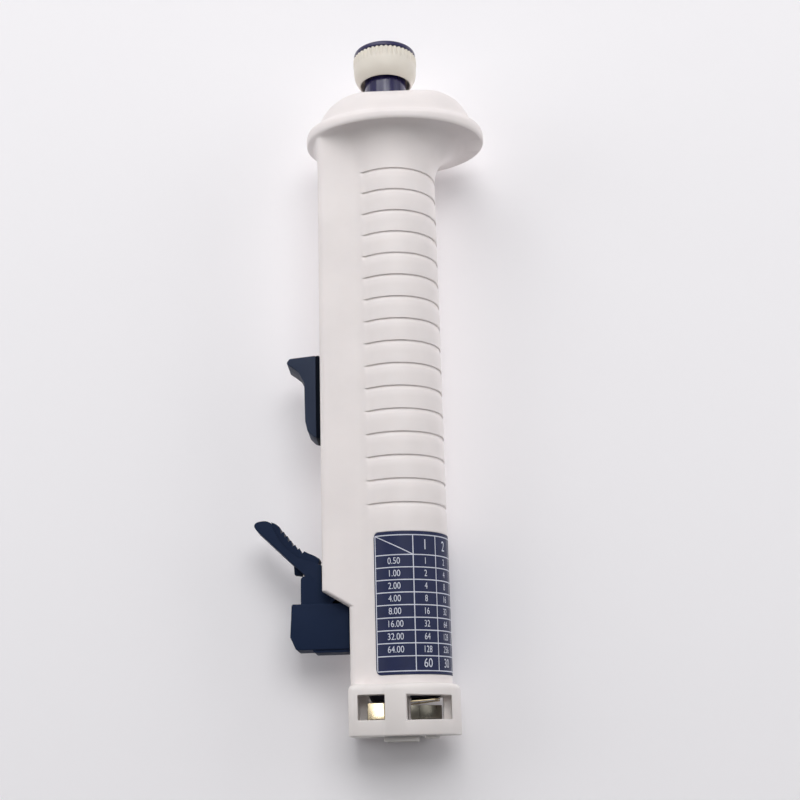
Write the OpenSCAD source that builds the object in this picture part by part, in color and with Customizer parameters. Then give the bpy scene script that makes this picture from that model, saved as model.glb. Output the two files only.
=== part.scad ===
// Repeating pipette: a hand-held stepper that fills a clip-in syringe tip with a sliding lever and
// empties it in equal steps with a thumb lever.
// Z runs up the instrument, the levers face -X and the label wraps round +X.
// The origin is on the body axis, in the bottom face of the nose.

/* [Body] */
// Radius of the round grip part of the body
body_r = 14; // [13.6:0.1:14.6]
// Half the thickness of the flat-sided keel that carries the lever slot
keel_half = 10.5; // [10.2:0.1:11]
// Distance from the body axis to the keel's front face
keel_front = 23.4; // [23:0.1:24.2]
// Distance from the body axis to the front face below the keel
lower_front = 15.5; // [15.2:0.1:16]
// Wall of the housing
wall = 2; // [1.7:0.1:2.2]
// Radius of the keel's front corners
keel_corner = 1.8; // [1:0.1:2.2]
// Radius of the hollow blend between the keel and the round grip
keel_blend = 8; // [5:0.5:10]
// Height of the keel's lower end at its front face
keel_foot_z = 41.8; // [41:0.1:44]
// Drop of the keel's slanted lower end from front to back
keel_foot_drop = 4.8; // [3.5:0.1:5.5]
// Half the width of the lever slot
slot_half = 6.4; // [6.3:0.1:6.8]

/* [Grip grooves] */
// Number of grip grooves
groove_count = 16; // [12:1:16]
// Height of the lowest groove
groove_first_z = 66.35; // [64:0.5:70]
// Spacing of the grooves
groove_pitch = 7.13; // [6.5:0.01:7.2]
// Width of a groove
groove_w = 0.7; // [0.5:0.1:1]
// Depth of a groove
groove_d = 0.5; // [0.3:0.1:0.8]

/* [Finger rest] */
// Height of the finger rest's lower edge
rest_z = 187; // [185:0.5:189]
// Half length of the finger rest, front to back
rest_a = 29; // [27:0.5:31]
// Half width of the finger rest
rest_b = 21.9; // [21:0.1:23]
// Offset of the finger rest from the body axis
rest_x = 1.5; // [0:0.1:3]
// Height of the vertical edge band
rest_band = 2.8; // [2.2:0.2:3.6]
// Height of the brim from its lower edge to the foot of the crown
rest_brim_h = 6.4; // [5.8:0.2:7]
// Half length of the crown at its foot
crown_foot_a = 25.8; // [25:0.2:26.4]
// Half length of the crown where its side turns over into its top
crown_top_a = 20.3; // [19.6:0.1:21]
// Height of the crown above the rest's lower edge
crown_h = 18.2; // [17.6:0.2:19]
// Radius of the crown's saddle, seen from the front
crown_dome_r = 19; // [18:0.5:24]

/* [Nose] */
// Height of the nose
nose_h = 14.5; // [14:0.1:15.5]
// Radius of the nose's round back
nose_r = 16.2; // [16:0.1:17]
// Distance from the axis to the nose's front face
nose_front = 16; // [15.8:0.1:16.8]
// Half thickness of the nose's flat sides
nose_half = 15; // [14.4:0.1:15.4]
// Radius of the socket that takes the tip's flange
socket_r = 11.3; // [11.1:0.1:11.5]
// Depth of the socket
socket_depth = 12; // [11.6:0.1:12.2]
// How far the guide ring's lips stand below the nose
ring_proud = 1.45; // [0.8:0.05:1.6]
// Height of the windows' lower edge
window_z = 4.4; // [4:0.1:5]
// Height of the windows
window_h = 6.9; // [6:0.1:7]
// Sheet thickness of the tip clip
clip_t = 0.5; // [0.4:0.05:0.6]

/* [Dial] */
// Offset of the dial axis from the body axis
dial_x = -1.2; // [-1.5:0.1:-0.5]
// Radius of the dial's neck
neck_r = 6.9; // [6.6:0.1:7.1]
// Radius of the dial's ring
knob_r = 10.5; // [10:0.1:11]
// Height of the ring's lower lip
knob_z = 209.4; // [208.8:0.1:210]
// Height of the ring
knob_h = 9.9; // [9.5:0.1:10.5]
// Number of grip flutes round the ring
flute_count = 42; // [30:1:48]
// Thickness of the dial's top disc
disc_h = 1.9; // [1.6:0.1:2.4]
// Radius of the dial shaft below the neck
shaft_r = 3; // [2.8:0.1:3.2]
// Number of detent positions in a full turn
detent_count = 10; // [8:1:12]

/* [Stepping lever] */
// Height of the thumb ledge
ledge_z = 115; // [114:0.5:116]
// Reach of the thumb ledge in front of the keel
ledge_reach = 10.5; // [10:0.1:11]
// Height of the lever, ledge to lower end
step_h = 26.4; // [26:0.2:27]
// Half the width of the lever
step_half = 5.8; // [5.5:0.1:6]
// Stroke of the lever
step_travel = 6; // [5:0.5:6]

/* [Filling slide] */
// Stroke of the filling slide
fill_travel = 26; // [24:0.5:26]
// Half the width of the slide's block
block_half = 6; // [5.6:0.1:6.1]
// Reach of the block in front of the axis
block_reach = 33; // [32:0.1:33.5]
// Height of the block's lower face
block_z = 25.1; // [24.8:0.1:25.5]
// Height of the block
block_h = 13.5; // [13.1:0.1:13.8]
// Radius of the plunger jaws
jaw_r = 6.7; // [6.4:0.1:6.9]
// Radius of the guide rods
rod_r = 1.5; // [1.3:0.1:1.6]
// Distance of the guide rods behind the body axis
rod_x = 6.5; // [6.2:0.1:6.8]
// Half the spacing of the guide rods
rod_y = 7.2; // [7:0.1:7.4]

/* [Release lever] */
// Half the width of the lever
stem_half = 4.7; // [4.4:0.1:4.8]
// Step from the lever's side to the grip pad's side
pad_inset = 0.8; // [0.5:0.1:1.2]
// Number of grip ribs on the thumb pad
rib_count = 6; // [5:1:7]
// Radius of the lever's pivot pin
pivot_r = 0.8; // [0.7:0.1:0.9]

/* [Label] */
// Height of the label's lower edge
label_z = 16.9; // [16.5:0.1:17.5]
// Height of the label
label_h = 41; // [38:0.5:42]
// Thickness of the label
label_t = 0.25; // [0.2:0.05:0.3]
// Angle from the side normal to the label's front edge
label_start = -34; // [-36:1:-30]
// Angle that the label wraps round the grip
label_wrap = 206; // [180:1:215]

/* [Hidden] */
$fn = 96;

eps = 0.01;
fit = 0.15;       // gap between a plate and the wall that holds it
run = 0.06;       // radial gap of a rod or shaft in the hole that runs on it
clear = 0.3;      // gap between pieces that pass each other
off_white = "#E6E3DC";
ivory = "#E4DFCF";
navy = "#20294A";
black_pom = "#17191F";
steel = "#B9BCC0";
pom_white = "#D9D8D2";

// Body
cavity_top = rest_z + 5;
inner_r = body_r - wall;
inner_half = keel_half - wall;
inner_front = keel_front - wall;
tube_z = nose_h;
slot_z = tube_z + 7;
slot_top = ledge_z + 6;
ring_r = 12.7;
ring_h = 4;
clip_r = 12;
screw_r = 0.8;
screw_head_r = 1.5;
foot_back = keel_foot_drop / (keel_front - lower_front);

// Plates inside the body, from the nose upwards
lower_z = nose_h + 3.1;
plate_t = 2.6;
bumper_t = 1;
bumper_w = 1;
throat_gap = 0.9;
carriage_z = lower_z + plate_t + bumper_t + 0.2;
carriage_top = block_z + block_h - 1;
mid_z = carriage_top + fill_travel + 5;
upper_z = rest_z - 9;
rods_bottom = lower_z;
rods_top = upper_z + plate_t;

// Filling slide
jaw_top = carriage_z + 7.5;
jaw_z = socket_depth + 0.3;
jaw_flat = 4.9;
jaw_pin_z = carriage_z + 3.6;
jaw_pin_y = 4.4;
jaw_pin_r = 0.75;
jaw_gap = 0.6;
barrel_r = 8.6;
ear_wall = 1.3;
ear_rise = 2;
ear_h = carriage_top - carriage_z - ear_rise;
rack_pitch = fill_travel / 50;
rack_teeth = 64;
rack_x = -9;
rack_t = 2.6;
rack_half = 2;
rack_tooth = 0.42;
rack_toe = 4;
block_back = lower_front + 0.25;
pocket_half = stem_half + clear;

// Release lever
pivot_x = -19.2;
pivot_z = block_z + block_h + 0.5;

// Stepping lever
carrier_top = ledge_z + 3;
rack_top = carrier_top - 8.5;
carrier_z = carrier_top - 26;
carrier_half = inner_half - clear;
carrier_front = inner_front - clear;
carrier_back = 15.2;
step_rod_r = 1;
step_rod_x = -18.4;
step_rod_y = 5.6;
pawl_x = carrier_back + 0.9;
pawl_reach = 8.8;
pawl_z = carrier_z + 6;
pawl_pin_r = 0.7;
spring_wire = 0.35;
spring_r = 1.75;

// Dial
shaft_bottom = upper_z - 24;
neck_z = cavity_top + 4;
neck_top = knob_z + 3.4;
star_z = upper_z + plate_t + 0.15;
star_t = 3;
star_r = 6.2;
ball_r = 1;
ball_x = dial_x + star_r + ball_r + run;
cam_z = shaft_bottom + 5;
cam_r = 7;
cam_steps = 9;
cam_rise = rack_pitch;
cam_h = 6.5;
finger_gap = 0.6;
finger_end = dial_x - 3.8;
mask_y = 3.2;
mask_w = 2;
mask_t = 0.6;
mask_bar = 2.4;
mask_x = rack_x - rack_t - rack_tooth - 0.3 - mask_t;
mask_foot = mid_z - 4.2;
mask_head = upper_z + plate_t + 3.5;
follow = 180 - atan((mask_y + mask_w / 2) / (dial_x - finger_end + 0.9));

// ---------- outlines ----------

// Round grip with a flat-sided keel in front, blended by two hollow fillets.
module body_outline(r, half, front, corner, blend) {
    blend_x = -sqrt(pow(r + blend, 2) - pow(half + blend, 2));
    touch = r / (r + blend);
    meet_x = -sqrt(r * r - half * half);
    circle(r);
    translate([-front + corner, -half]) square([front - corner, 2 * half]);
    translate([-front, -half + corner]) square([front, 2 * (half - corner)]);
    for (side = [-1, 1]) {
        translate([-front + corner, side * (half - corner)]) circle(corner);
        if (blend > 0 && front > -blend_x)
            difference() {
                polygon([[blend_x, side * (half - 1)], [blend_x, side * (half + blend)],
                    [blend_x * touch, side * (half + blend) * touch],
                    [blend_x * touch * 0.9, side * (half + blend) * touch * 0.9],
                    [meet_x + 1, side * (half - 1)]]);
                translate([blend_x, side * (half + blend)]) circle(blend);
            }
    }
}

// What lies inside the housing's walls, less a fitting gap.
module inner_outline(front, gap = 0) {
    body_outline(inner_r - gap, inner_half - gap, front - gap, max(keel_corner - wall, 0.2), 0);
}

module nose_outline(grow = 0) {
    body_outline(nose_r + grow, nose_half + grow, nose_front + grow, 2, 0);
}

// Everything in front of the given front face below the keel's slanted foot.
module keel_foot_cut(front, rise, reach) {
    rotate([90, 0, 0])
        translate([0, 0, -30])
            linear_extrude(60)
                polygon([[-front, -1], [-front, keel_foot_z + rise - keel_foot_drop],
                    [-keel_front, keel_foot_z + rise],
                    [-keel_front - reach, keel_foot_z + rise + reach * foot_back],
                    [-keel_front - reach, -1]]);
}

// An elliptical turned form: profile radii are along X, and Y is scaled to the narrow side.
module elliptic(a, b) {
    translate([rest_x, 0, 0])
        scale([1, b / a, 1])
            rotate_extrude()
                children();
}

// ---------- housing ----------

module brim_profile() {
    lip_r = 0.8;
    round_r = rest_brim_h - rest_band;
    flat = rest_a - round_r;
    flare_h = 9;
    square([rest_a - lip_r, rest_band]);
    translate([0, lip_r]) square([rest_a, rest_band - lip_r]);
    translate([rest_a - lip_r, lip_r]) circle(lip_r);
    translate([flat, rest_band]) intersection() {
        circle(round_r);
        square(round_r);
    }
    square([flat, rest_brim_h]);
    // shallow flare from the grip up to the brim
    polygon([[0, -flare_h], [body_r + 1.4, -flare_h], [body_r + 2.6, -flare_h * 0.62],
        [body_r + 5.2, -flare_h * 0.33], [rest_a - 1.5, eps], [0, eps]]);
}

// Low crown whose side turns over gently into its top.
module crown_profile() {
    side_h = (crown_h + rest_brim_h) / 2 + 1.6;
    polygon([[0, 0], [crown_foot_a, 0], [crown_foot_a, rest_brim_h],
        [crown_foot_a - 0.7, rest_brim_h + 1.6],
        [(crown_foot_a + crown_top_a) / 2 - 0.1, (rest_brim_h + side_h) / 2 + 0.2], [crown_top_a, side_h],
        [crown_top_a - 3.8, crown_h - 1.5], [crown_top_a - 8.7, crown_h - 0.3], [0, crown_h]]);
}

module crown() {
    intersection() {
        elliptic(crown_foot_a, crown_foot_a * rest_b / rest_a) crown_profile();
        translate([rest_x - 40, 0, crown_h - crown_dome_r])
            rotate([0, 90, 0])
                cylinder(r = crown_dome_r, h = 80);
    }
}

module grooves() {
    flat_x = -sqrt(body_r * body_r - keel_half * keel_half);
    for (i = [0:groove_count - 1])
        translate([0, 0, groove_first_z + i * groove_pitch - groove_w / 2])
            difference() {
                translate([flat_x, -body_r - 1, 0]) cube([body_r - flat_x + 1, 2 * body_r + 2, groove_w]);
                translate([0, 0, -eps]) cylinder(r = body_r - groove_d, h = groove_w + 2 * eps);
            }
}

module housing() {
    color(off_white)
    difference() {
        union() {
            difference() {
                translate([0, 0, tube_z])
                    linear_extrude(rest_z - tube_z)
                        body_outline(body_r, keel_half, keel_front, keel_corner, keel_blend);
                keel_foot_cut(lower_front, 0, 3);
            }
            translate([0, 0, rest_z]) {
                elliptic(rest_a, rest_b) brim_profile();
                crown();
            }
        }
        difference() {
            translate([0, 0, tube_z - 1])
                linear_extrude(cavity_top - tube_z + 1)
                    inner_outline(inner_front);
            keel_foot_cut(lower_front - wall, wall, 3);
        }
        translate([-keel_front - 4, -slot_half, slot_z])
            cube([keel_front + 4 - 8, 2 * slot_half, slot_top - slot_z]);
        translate([dial_x, 0, cavity_top - 1])
            cylinder(r = neck_r + clear, h = crown_h);
        grooves();
        label_recess();
        for (side = [-1, 1])
            translate([0, side * (body_r + 1), lower_z + plate_t / 2])
                rotate([side * 90, 0, 0])
                    cylinder(r = screw_r + run, h = body_r);
    }
}

// ---------- label ----------

module label_ring(z, h, inner, outer) {
    translate([0, 0, z])
        rotate([0, 0, label_start - 90])
            rotate_extrude(angle = label_wrap)
                translate([inner, 0]) square([outer - inner, h]);
}

module label_recess() {
    label_ring(label_z - 0.1, label_h + 0.2, body_r - 0.12, body_r + 1);
}

module volume_label() {
    color(navy) label_ring(label_z, label_h, body_r - 0.12, body_r - 0.12 + label_t);
}

// ---------- nose ----------

// Windows either side, cut square to the wall; the rear ones turn with it.
module nose_windows() {
    for (side = [-1, 1]) {
        translate([-13.3, side * (nose_half + 2) - (side > 0 ? 9 : 0), window_z])
            cube([7.7, 9, window_h]);
        hull() {
            translate([0.7, side * (nose_r + 2), window_z]) cube([13.2, 0.1, window_h]);
            translate([2, side * (socket_r - 6), window_z]) cube([6.4, 0.1, window_h]);
        }
    }
}

module nose() {
    spigot = 3;
    color(off_white)
    difference() {
        union() {
            linear_extrude(nose_h - 0.9) nose_outline();
            linear_extrude(nose_h - 0.4) nose_outline(-0.35);
            linear_extrude(nose_h) nose_outline(-0.9);
            translate([0, 0, nose_h])
                linear_extrude(spigot)
                    inner_outline(lower_front - wall, fit);
        }
        translate([0, 0, -eps]) cylinder(r = socket_r, h = socket_depth + eps);
        translate([0, 0, -eps]) cylinder(r = ring_r, h = ring_h + eps);
        translate([0, 0, window_z + 0.2]) cylinder(r = clip_r + 0.1, h = window_h + 0.2);
        cylinder(r = barrel_r, h = nose_h + spigot + 1);
        nose_windows();
        nose_screw_places() cylinder(r = screw_r, h = 30);
    }
}

module nose_screw_places() {
    for (side = [-1, 1])
        translate([9.2, side * 4.6, socket_depth - 0.5]) children();
}

// Guide ring that centres the tip's flange, with a lip on each side standing below the nose.
module tip_guide_ring() {
    notch_x = 5;
    color(ivory)
    difference() {
        union() {
            cylinder(r = ring_r, h = ring_h);
            for (side = [-1, 1])
                intersection() {
                    translate([0, 0, -ring_proud]) cylinder(r = ring_r - 0.3, h = ring_proud + 1);
                    translate([-6, side * 11 - 5, -ring_proud - 1]) cube([13.2, 10, ring_proud + 2]);
                }
        }
        translate([0, 0, -ring_proud - 1]) cylinder(r = socket_r, h = ring_h + ring_proud + 2);
        for (side = [-1, 1])
            translate([notch_x - 1.3, side * 11 - 4, -ring_proud - 1])
                cube([2.6, 8, ring_proud + 1]);
    }
}

// Screws that hold the lower plate down on the nose.
module nose_screws() {
    color(steel)
    nose_screw_places()
        translate([0, 0, 0.5 + 0.2]) {
            cylinder(r = screw_r, h = lower_z + plate_t - socket_depth - 0.2);
            translate([0, 0, lower_z + plate_t - socket_depth - 0.2]) cylinder(r = screw_head_r, h = 0.9);
        }
}

// Stainless spring clip that snaps under the tip's flange: a C-shaped band with a turned-in tongue
// on each side.
module tip_clip() {
    band_r = clip_r;
    color(steel)
    translate([0, 0, window_z + 0.5]) {
        rotate([0, 0, 200]) rotate_extrude(angle = 320)
            translate([band_r - clip_t, 0]) square([clip_t, window_h - 2.6]);
        for (side = [-1, 1])
            rotate([0, 0, side * 90 - 22])
                rotate_extrude(angle = 44)
                    polygon([[band_r - clip_t, window_h - 2.7], [band_r, window_h - 2.7],
                        [band_r - 0.1, window_h - 0.9], [band_r - 0.1 - clip_t, window_h - 0.9]]);
    }
}

// ---------- plates and rods ----------

module at_rods(x, y) {
    for (side = [-1, 1]) translate([x, side * y, 0]) children();
}

module lower_plate() {
    color(black_pom)
    difference() {
        translate([0, 0, lower_z])
            linear_extrude(plate_t) inner_outline(lower_front - wall, fit);
        translate([0, 0, lower_z - 1]) {
            cylinder(r = jaw_r + throat_gap, h = plate_t + 2);
            at_rods(rod_x, rod_y) cylinder(r = rod_r, h = plate_t + 2);
        }
        nose_screw_places() cylinder(r = screw_r, h = 30);
        for (side = [-1, 1])
            translate([0, side * (inner_r + 1), lower_z + plate_t / 2])
                rotate([side * 90, 0, 0])
                    cylinder(r = screw_r, h = 4);
    }
}

// Countersunk screws through the housing wall into the lower plate.
module plate_screws() {
    color(steel)
    for (side = [-1, 1])
        translate([0, side * (body_r - 0.4), lower_z + plate_t / 2])
            rotate([side * 90, 0, 0])
                cylinder(r = screw_r, h = 3.6);
}

module mid_plate() {
    color(black_pom)
    difference() {
        translate([0, 0, mid_z])
            linear_extrude(plate_t) inner_outline(inner_front, fit);
        translate([0, 0, mid_z - 1]) {
            at_rods(rod_x, rod_y) cylinder(r = rod_r + 0.02, h = plate_t + 2);
            at_rods(step_rod_x, step_rod_y) cylinder(r = step_rod_r, h = plate_t + 2);
            translate([rack_x - rack_t - rack_tooth - clear, -rack_half - clear, 0])
                cube([rack_t + rack_tooth + 2 * clear, 2 * (rack_half + clear), plate_t + 2]);
        }
        mask_slot(mid_z - 1);
    }
}

module upper_plate() {
    boss_h = 4;
    color(black_pom)
    difference() {
        union() {
            translate([0, 0, upper_z])
                linear_extrude(plate_t) inner_outline(inner_front, fit);
            // wall that holds the detent spring and ball
            translate([dial_x + star_r + 0.3, -2, upper_z])
                cube([5.6, 4, plate_t + boss_h]);
        }
        translate([0, 0, upper_z - 1]) {
            at_rods(rod_x, rod_y) cylinder(r = rod_r, h = plate_t + 1);
            at_rods(step_rod_x, step_rod_y) cylinder(r = step_rod_r, h = plate_t + 1);
            translate([dial_x, 0, 0]) cylinder(r = shaft_r + run, h = plate_t + 2);
        }
        translate([dial_x + star_r - 1, 0, star_z + star_t / 2])
            rotate([0, 90, 0]) cylinder(r = ball_r + 0.08, h = ball_x + ball_r + 2.6 - dial_x - star_r + 1);
        mask_slot(upper_z - 1);
    }
}

module guide_rods() {
    color(steel)
    translate([0, 0, rods_bottom])
        at_rods(rod_x, rod_y) cylinder(r = rod_r, h = rods_top - rods_bottom - 0.6);
}

module step_rods() {
    color(steel)
    translate([0, 0, mid_z])
        at_rods(step_rod_x, step_rod_y) cylinder(r = step_rod_r, h = upper_z + plate_t - mid_z - 0.6);
}

module end_bumper() {
    color("#26282C")
    translate([0, 0, lower_z + plate_t])
    difference() {
        rotate_extrude() translate([jaw_r + throat_gap, 0]) square([bumper_w, bumper_t]);
        translate([0, 0, -bumper_t])
            at_rods(rod_x, rod_y) cylinder(r = rod_r + clear, h = 3 * bumper_t);
    }
}

// ---------- dial ----------

module star_notch(i) {
    rotate([0, 0, i * 360 / detent_count])
        translate([star_r + ball_r - 0.35, 0, -1]) cylinder(r = ball_r, h = star_t + 2);
}

module dial_shaft() {
    color(navy)
    translate([dial_x, 0, 0])
    difference() {
        union() {
            translate([0, 0, shaft_bottom]) cylinder(r = shaft_r, h = neck_z - shaft_bottom);
            translate([0, 0, neck_z]) cylinder(r = neck_r, h = neck_top - neck_z);
            translate([0, 0, neck_top]) cylinder(r = 4, h = knob_z + knob_h - 2.6 - neck_top);
            translate([0, 0, star_z]) cylinder(r = star_r, h = star_t);
        }
        translate([0, 0, star_z])
            for (i = [0:detent_count - 1]) star_notch(i);
        translate([0, 0, upper_z - 1.1])
            difference() {
                cylinder(r = shaft_r + 1, h = 0.8);
                translate([0, 0, -1]) cylinder(r = shaft_r - 0.6, h = 3);
            }
        translate([0, 0, neck_top]) cylinder(r = 1.25, h = 20);
        translate([-5, 0, cam_z + cam_h - 1]) rotate([0, 90, 0]) cylinder(r = 0.6, h = 10);
    }
}

module shaft_clip() {
    color(steel)
    translate([dial_x, 0, upper_z - 1.05])
        rotate([0, 0, 30]) rotate_extrude(angle = 300)
            translate([shaft_r - 0.55, 0]) square([2, 0.7]);
}

// Ring of the dial: a bowl below and a fluted band above.
module dial_ring() {
    band_z = knob_h - 3.7;
    lip_r = neck_r + 1;
    color(ivory)
    translate([dial_x, 0, knob_z])
    difference() {
        rotate_extrude() {
            polygon([[4.02, 3.4], [4.02, knob_h - 2.6], [1.35, knob_h - 2.6], [1.35, knob_h - 1.9],
                [2.6, knob_h - 1.9], [2.6, knob_h - 1.1], [knob_r - 1.2, knob_h - 1.1],
                [knob_r - 1.2, knob_h], [knob_r - 0.35, knob_h],
                [knob_r, knob_h - 0.4], [knob_r, band_z - 1.6], [knob_r - 0.35, band_z - 3],
                [knob_r - 1.15, 1.8], [knob_r - 2.1, 0.5], [lip_r + 0.3, 0], [lip_r, 0.3],
                [lip_r, 3.4]]);
        }
        for (i = [0:flute_count - 1])
            rotate([0, 0, i * 360 / flute_count])
                translate([knob_r + 0.18, 0, band_z])
                    cylinder(r = 0.5, h = 5);
    }
}

module dial_disc() {
    color(navy)
    translate([dial_x, 0, knob_z + knob_h - 1.05])
        rotate_extrude()
            polygon([[0, 0], [knob_r - 1.25, 0], [knob_r - 1.25, 1.1], [knob_r - 0.7, 1.1],
                [knob_r - 0.7, disc_h + 0.3], [knob_r - 1.2, disc_h + 0.8], [knob_r - 1.9, disc_h + 1.05],
                [knob_r - 2.4, disc_h + 0.8], [0, disc_h + 0.8]]);
}

module dial_screw() {
    seat_z = knob_z + knob_h - 1.9;
    foot_z = neck_top + 1;
    color(steel)
    translate([dial_x, 0, 0]) {
        translate([0, 0, seat_z]) cylinder(r = 2.4, h = 0.7);
        translate([0, 0, foot_z]) cylinder(r = 1.25, h = seat_z - foot_z + eps);
    }
}

// Stepped face cam: one sector for each dial setting, each higher than the last.
module volume_cam() {
    sector = 360 / detent_count;
    hub = shaft_r + 1.2;
    color(pom_white)
    translate([dial_x, 0, cam_z])
    difference() {
        union() {
            cylinder(r = hub, h = cam_h);
            for (i = [0:cam_steps - 1])
                rotate([0, 0, follow - (i + 0.5) * sector])
                    rotate_extrude(angle = (i + 1) * sector)
                        translate([shaft_r + 0.5, i * cam_rise])
                            square([cam_r - shaft_r - 0.5, cam_h - i * cam_rise]);
        }
        translate([0, 0, -1]) cylinder(r = shaft_r, h = cam_h + 4);
        translate([-10, 0, cam_h - 1]) rotate([0, 90, 0]) cylinder(r = 0.6, h = 20);
    }
}

module cam_pin() {
    color(steel)
    translate([dial_x - shaft_r - 1, 0, cam_z + cam_h - 1])
        rotate([0, 90, 0]) cylinder(r = 0.6, h = 2 * shaft_r + 2);
}

module detent_ball() {
    color(steel)
    translate([ball_x, 0, star_z + star_t / 2]) sphere(r = ball_r);
}

// ---------- coils ----------

// Points round a coil's wire at each step along it, swept into one closed skin.
module coil(r, wire, h, turns, sides = 6, per_turn = 14) {
    steps = ceil(turns * per_turn);
    ring = [for (s = [0:steps]) let (a = 360 * turns * s / steps, z = wire + (h - 2 * wire) * s / steps)
        for (k = [0:sides - 1]) let (b = 360 * k / sides)
            [(r + wire * cos(b)) * cos(a), (r + wire * cos(b)) * sin(a), z + wire * sin(b)]];
    skin = [for (s = [0:steps - 1]) for (k = [0:sides - 1])
        let (n = (k + 1) % sides)
            [s * sides + k, (s + 1) * sides + k, (s + 1) * sides + n, s * sides + n]];
    caps = [[for (k = [0:sides - 1]) k], [for (k = [sides - 1:-1:0]) steps * sides + k]];
    polyhedron(points = ring, faces = concat(skin, caps));
}

module detent_spring() {
    color(steel)
    translate([ball_x + ball_r, 0, star_z + star_t / 2])
        rotate([0, 90, 0]) coil(0.65, 0.18, 2.6, 5);
}

module step_springs() {
    color(steel)
    translate([0, 0, mid_z + plate_t])
        at_rods(step_rod_x, step_rod_y) coil(spring_r, spring_wire, carrier_z - mid_z - plate_t, 9);
}

// ---------- stepping lever ----------

// Side outline of the thumb hook, measured forward from the keel's face and down from the ledge.
module hook_outline() {
    lip = 0.8;
    back = clear;
    toe = 5;
    toe_r = toe - back;
    translate([back, -step_h + toe_r]) square([toe_r, step_h - 2 * toe_r]);
    translate([back, -step_h + toe_r]) intersection() {
        circle(toe_r);
        translate([0, -toe_r]) square(toe_r);
    }
    // thin ledge, thickening in a hollow towards the stem
    polygon([[back, 0], [ledge_reach - lip, -1], [ledge_reach - lip, -2.6], [8.5, -3.9], [6.9, -5.3],
        [5.7, -7.2], [toe, -10], [toe, -12], [back, -12]]);
    translate([ledge_reach - lip, -1 - lip]) circle(lip);
}

module step_lever() {
    neck_half = step_half - 1.2;
    color(navy)
    difference() {
        union() {
            translate([-keel_front, step_half, ledge_z])
                rotate([90, 0, 0]) linear_extrude(2 * step_half)
                    mirror([1, 0]) hook_outline();
            translate([-keel_front - clear - 0.5, -neck_half, ledge_z - 20])
                cube([clear + 0.5 + keel_front - carrier_front, 2 * neck_half, 16]);
        }
        for (z = [ledge_z - 8, ledge_z - 16])
            translate([-keel_front - 2, 0, z]) rotate([0, 90, 0]) cylinder(r = screw_r, h = 10);
    }
}

module step_carrier() {
    color(black_pom)
    difference() {
        translate([-carrier_front, -carrier_half, carrier_z])
            cube([carrier_front - carrier_back, 2 * carrier_half, carrier_top - carrier_z]);
        translate([0, 0, carrier_z - 1])
            at_rods(step_rod_x, step_rod_y) cylinder(r = step_rod_r + run, h = 40);
        translate([-carrier_back - 3, -1.6, pawl_z - 3]) cube([5, 3.2, 20]);
        translate([-pawl_x, 12, pawl_z]) rotate([90, 0, 0]) cylinder(r = pawl_pin_r, h = 24);
        for (z = [ledge_z - 8, ledge_z - 16])
            translate([-keel_front - 2, 0, z]) rotate([0, 90, 0]) cylinder(r = screw_r, h = 6.5);
    }
}

module step_screws() {
    color(steel)
    for (z = [ledge_z - 8, ledge_z - 16])
        translate([-keel_front - 1.8, 0, z]) rotate([0, 90, 0]) cylinder(r = screw_r, h = 5.6);
}

module pawl_pin() {
    color(steel)
    translate([-pawl_x, carrier_half - 1, pawl_z])
        rotate([90, 0, 0]) cylinder(r = pawl_pin_r, h = 2 * (carrier_half - 1));
}

// Pawl: an arm that stands on its pin and carries a hooked tooth towards the rack.
module pawl() {
    half = 1.3;
    px = -pawl_x;
    tip_x = mask_x - 0.3;
    tip_z = pawl_z + pawl_reach;
    color(steel)
    translate([0, half, 0]) rotate([90, 0, 0]) linear_extrude(2 * half)
        difference() {
            union() {
                translate([px, pawl_z]) circle(1.35);
                polygon([[px - 0.9, pawl_z], [px + 0.9, pawl_z], [px + 0.7, tip_z - 1.6],
                    [tip_x - 0.8, tip_z - 0.6], [tip_x, tip_z], [tip_x - 0.4, tip_z + 0.9],
                    [px - 0.2, tip_z + 2.2], [px - 0.9, tip_z + 0.4]]);
            }
            translate([px, pawl_z]) circle(pawl_pin_r + run);
        }
}

// ---------- mask slider ----------

// Slider beside the rack: its finger sits under the cam, and its shield keeps the pawl off the
// teeth for the first part of the stroke.
module mask_slider() {
    foot_z = pawl_z + pawl_reach - step_travel + rack_pitch;
    head_z = cam_z - finger_gap;
    color(pom_white)
    union() {
        translate([mask_x, mask_y, mask_foot]) cube([mask_bar, mask_w, mask_head - mask_foot]);
        translate([mask_x, -rack_half + 0.1, foot_z]) cube([mask_t, mask_y + rack_half, 11]);
        translate([mask_x, mask_y, head_z - 2.4]) cube([finger_end - mask_x, mask_w, 2.4]);
    }
}

// Slot in a plate that the slider's bar runs in.
module mask_slot(z) {
    translate([mask_x - run, mask_y - run, z]) cube([mask_bar + 2 * run, mask_w + 2 * run, 10]);
}

// ---------- filling slide ----------

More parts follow.
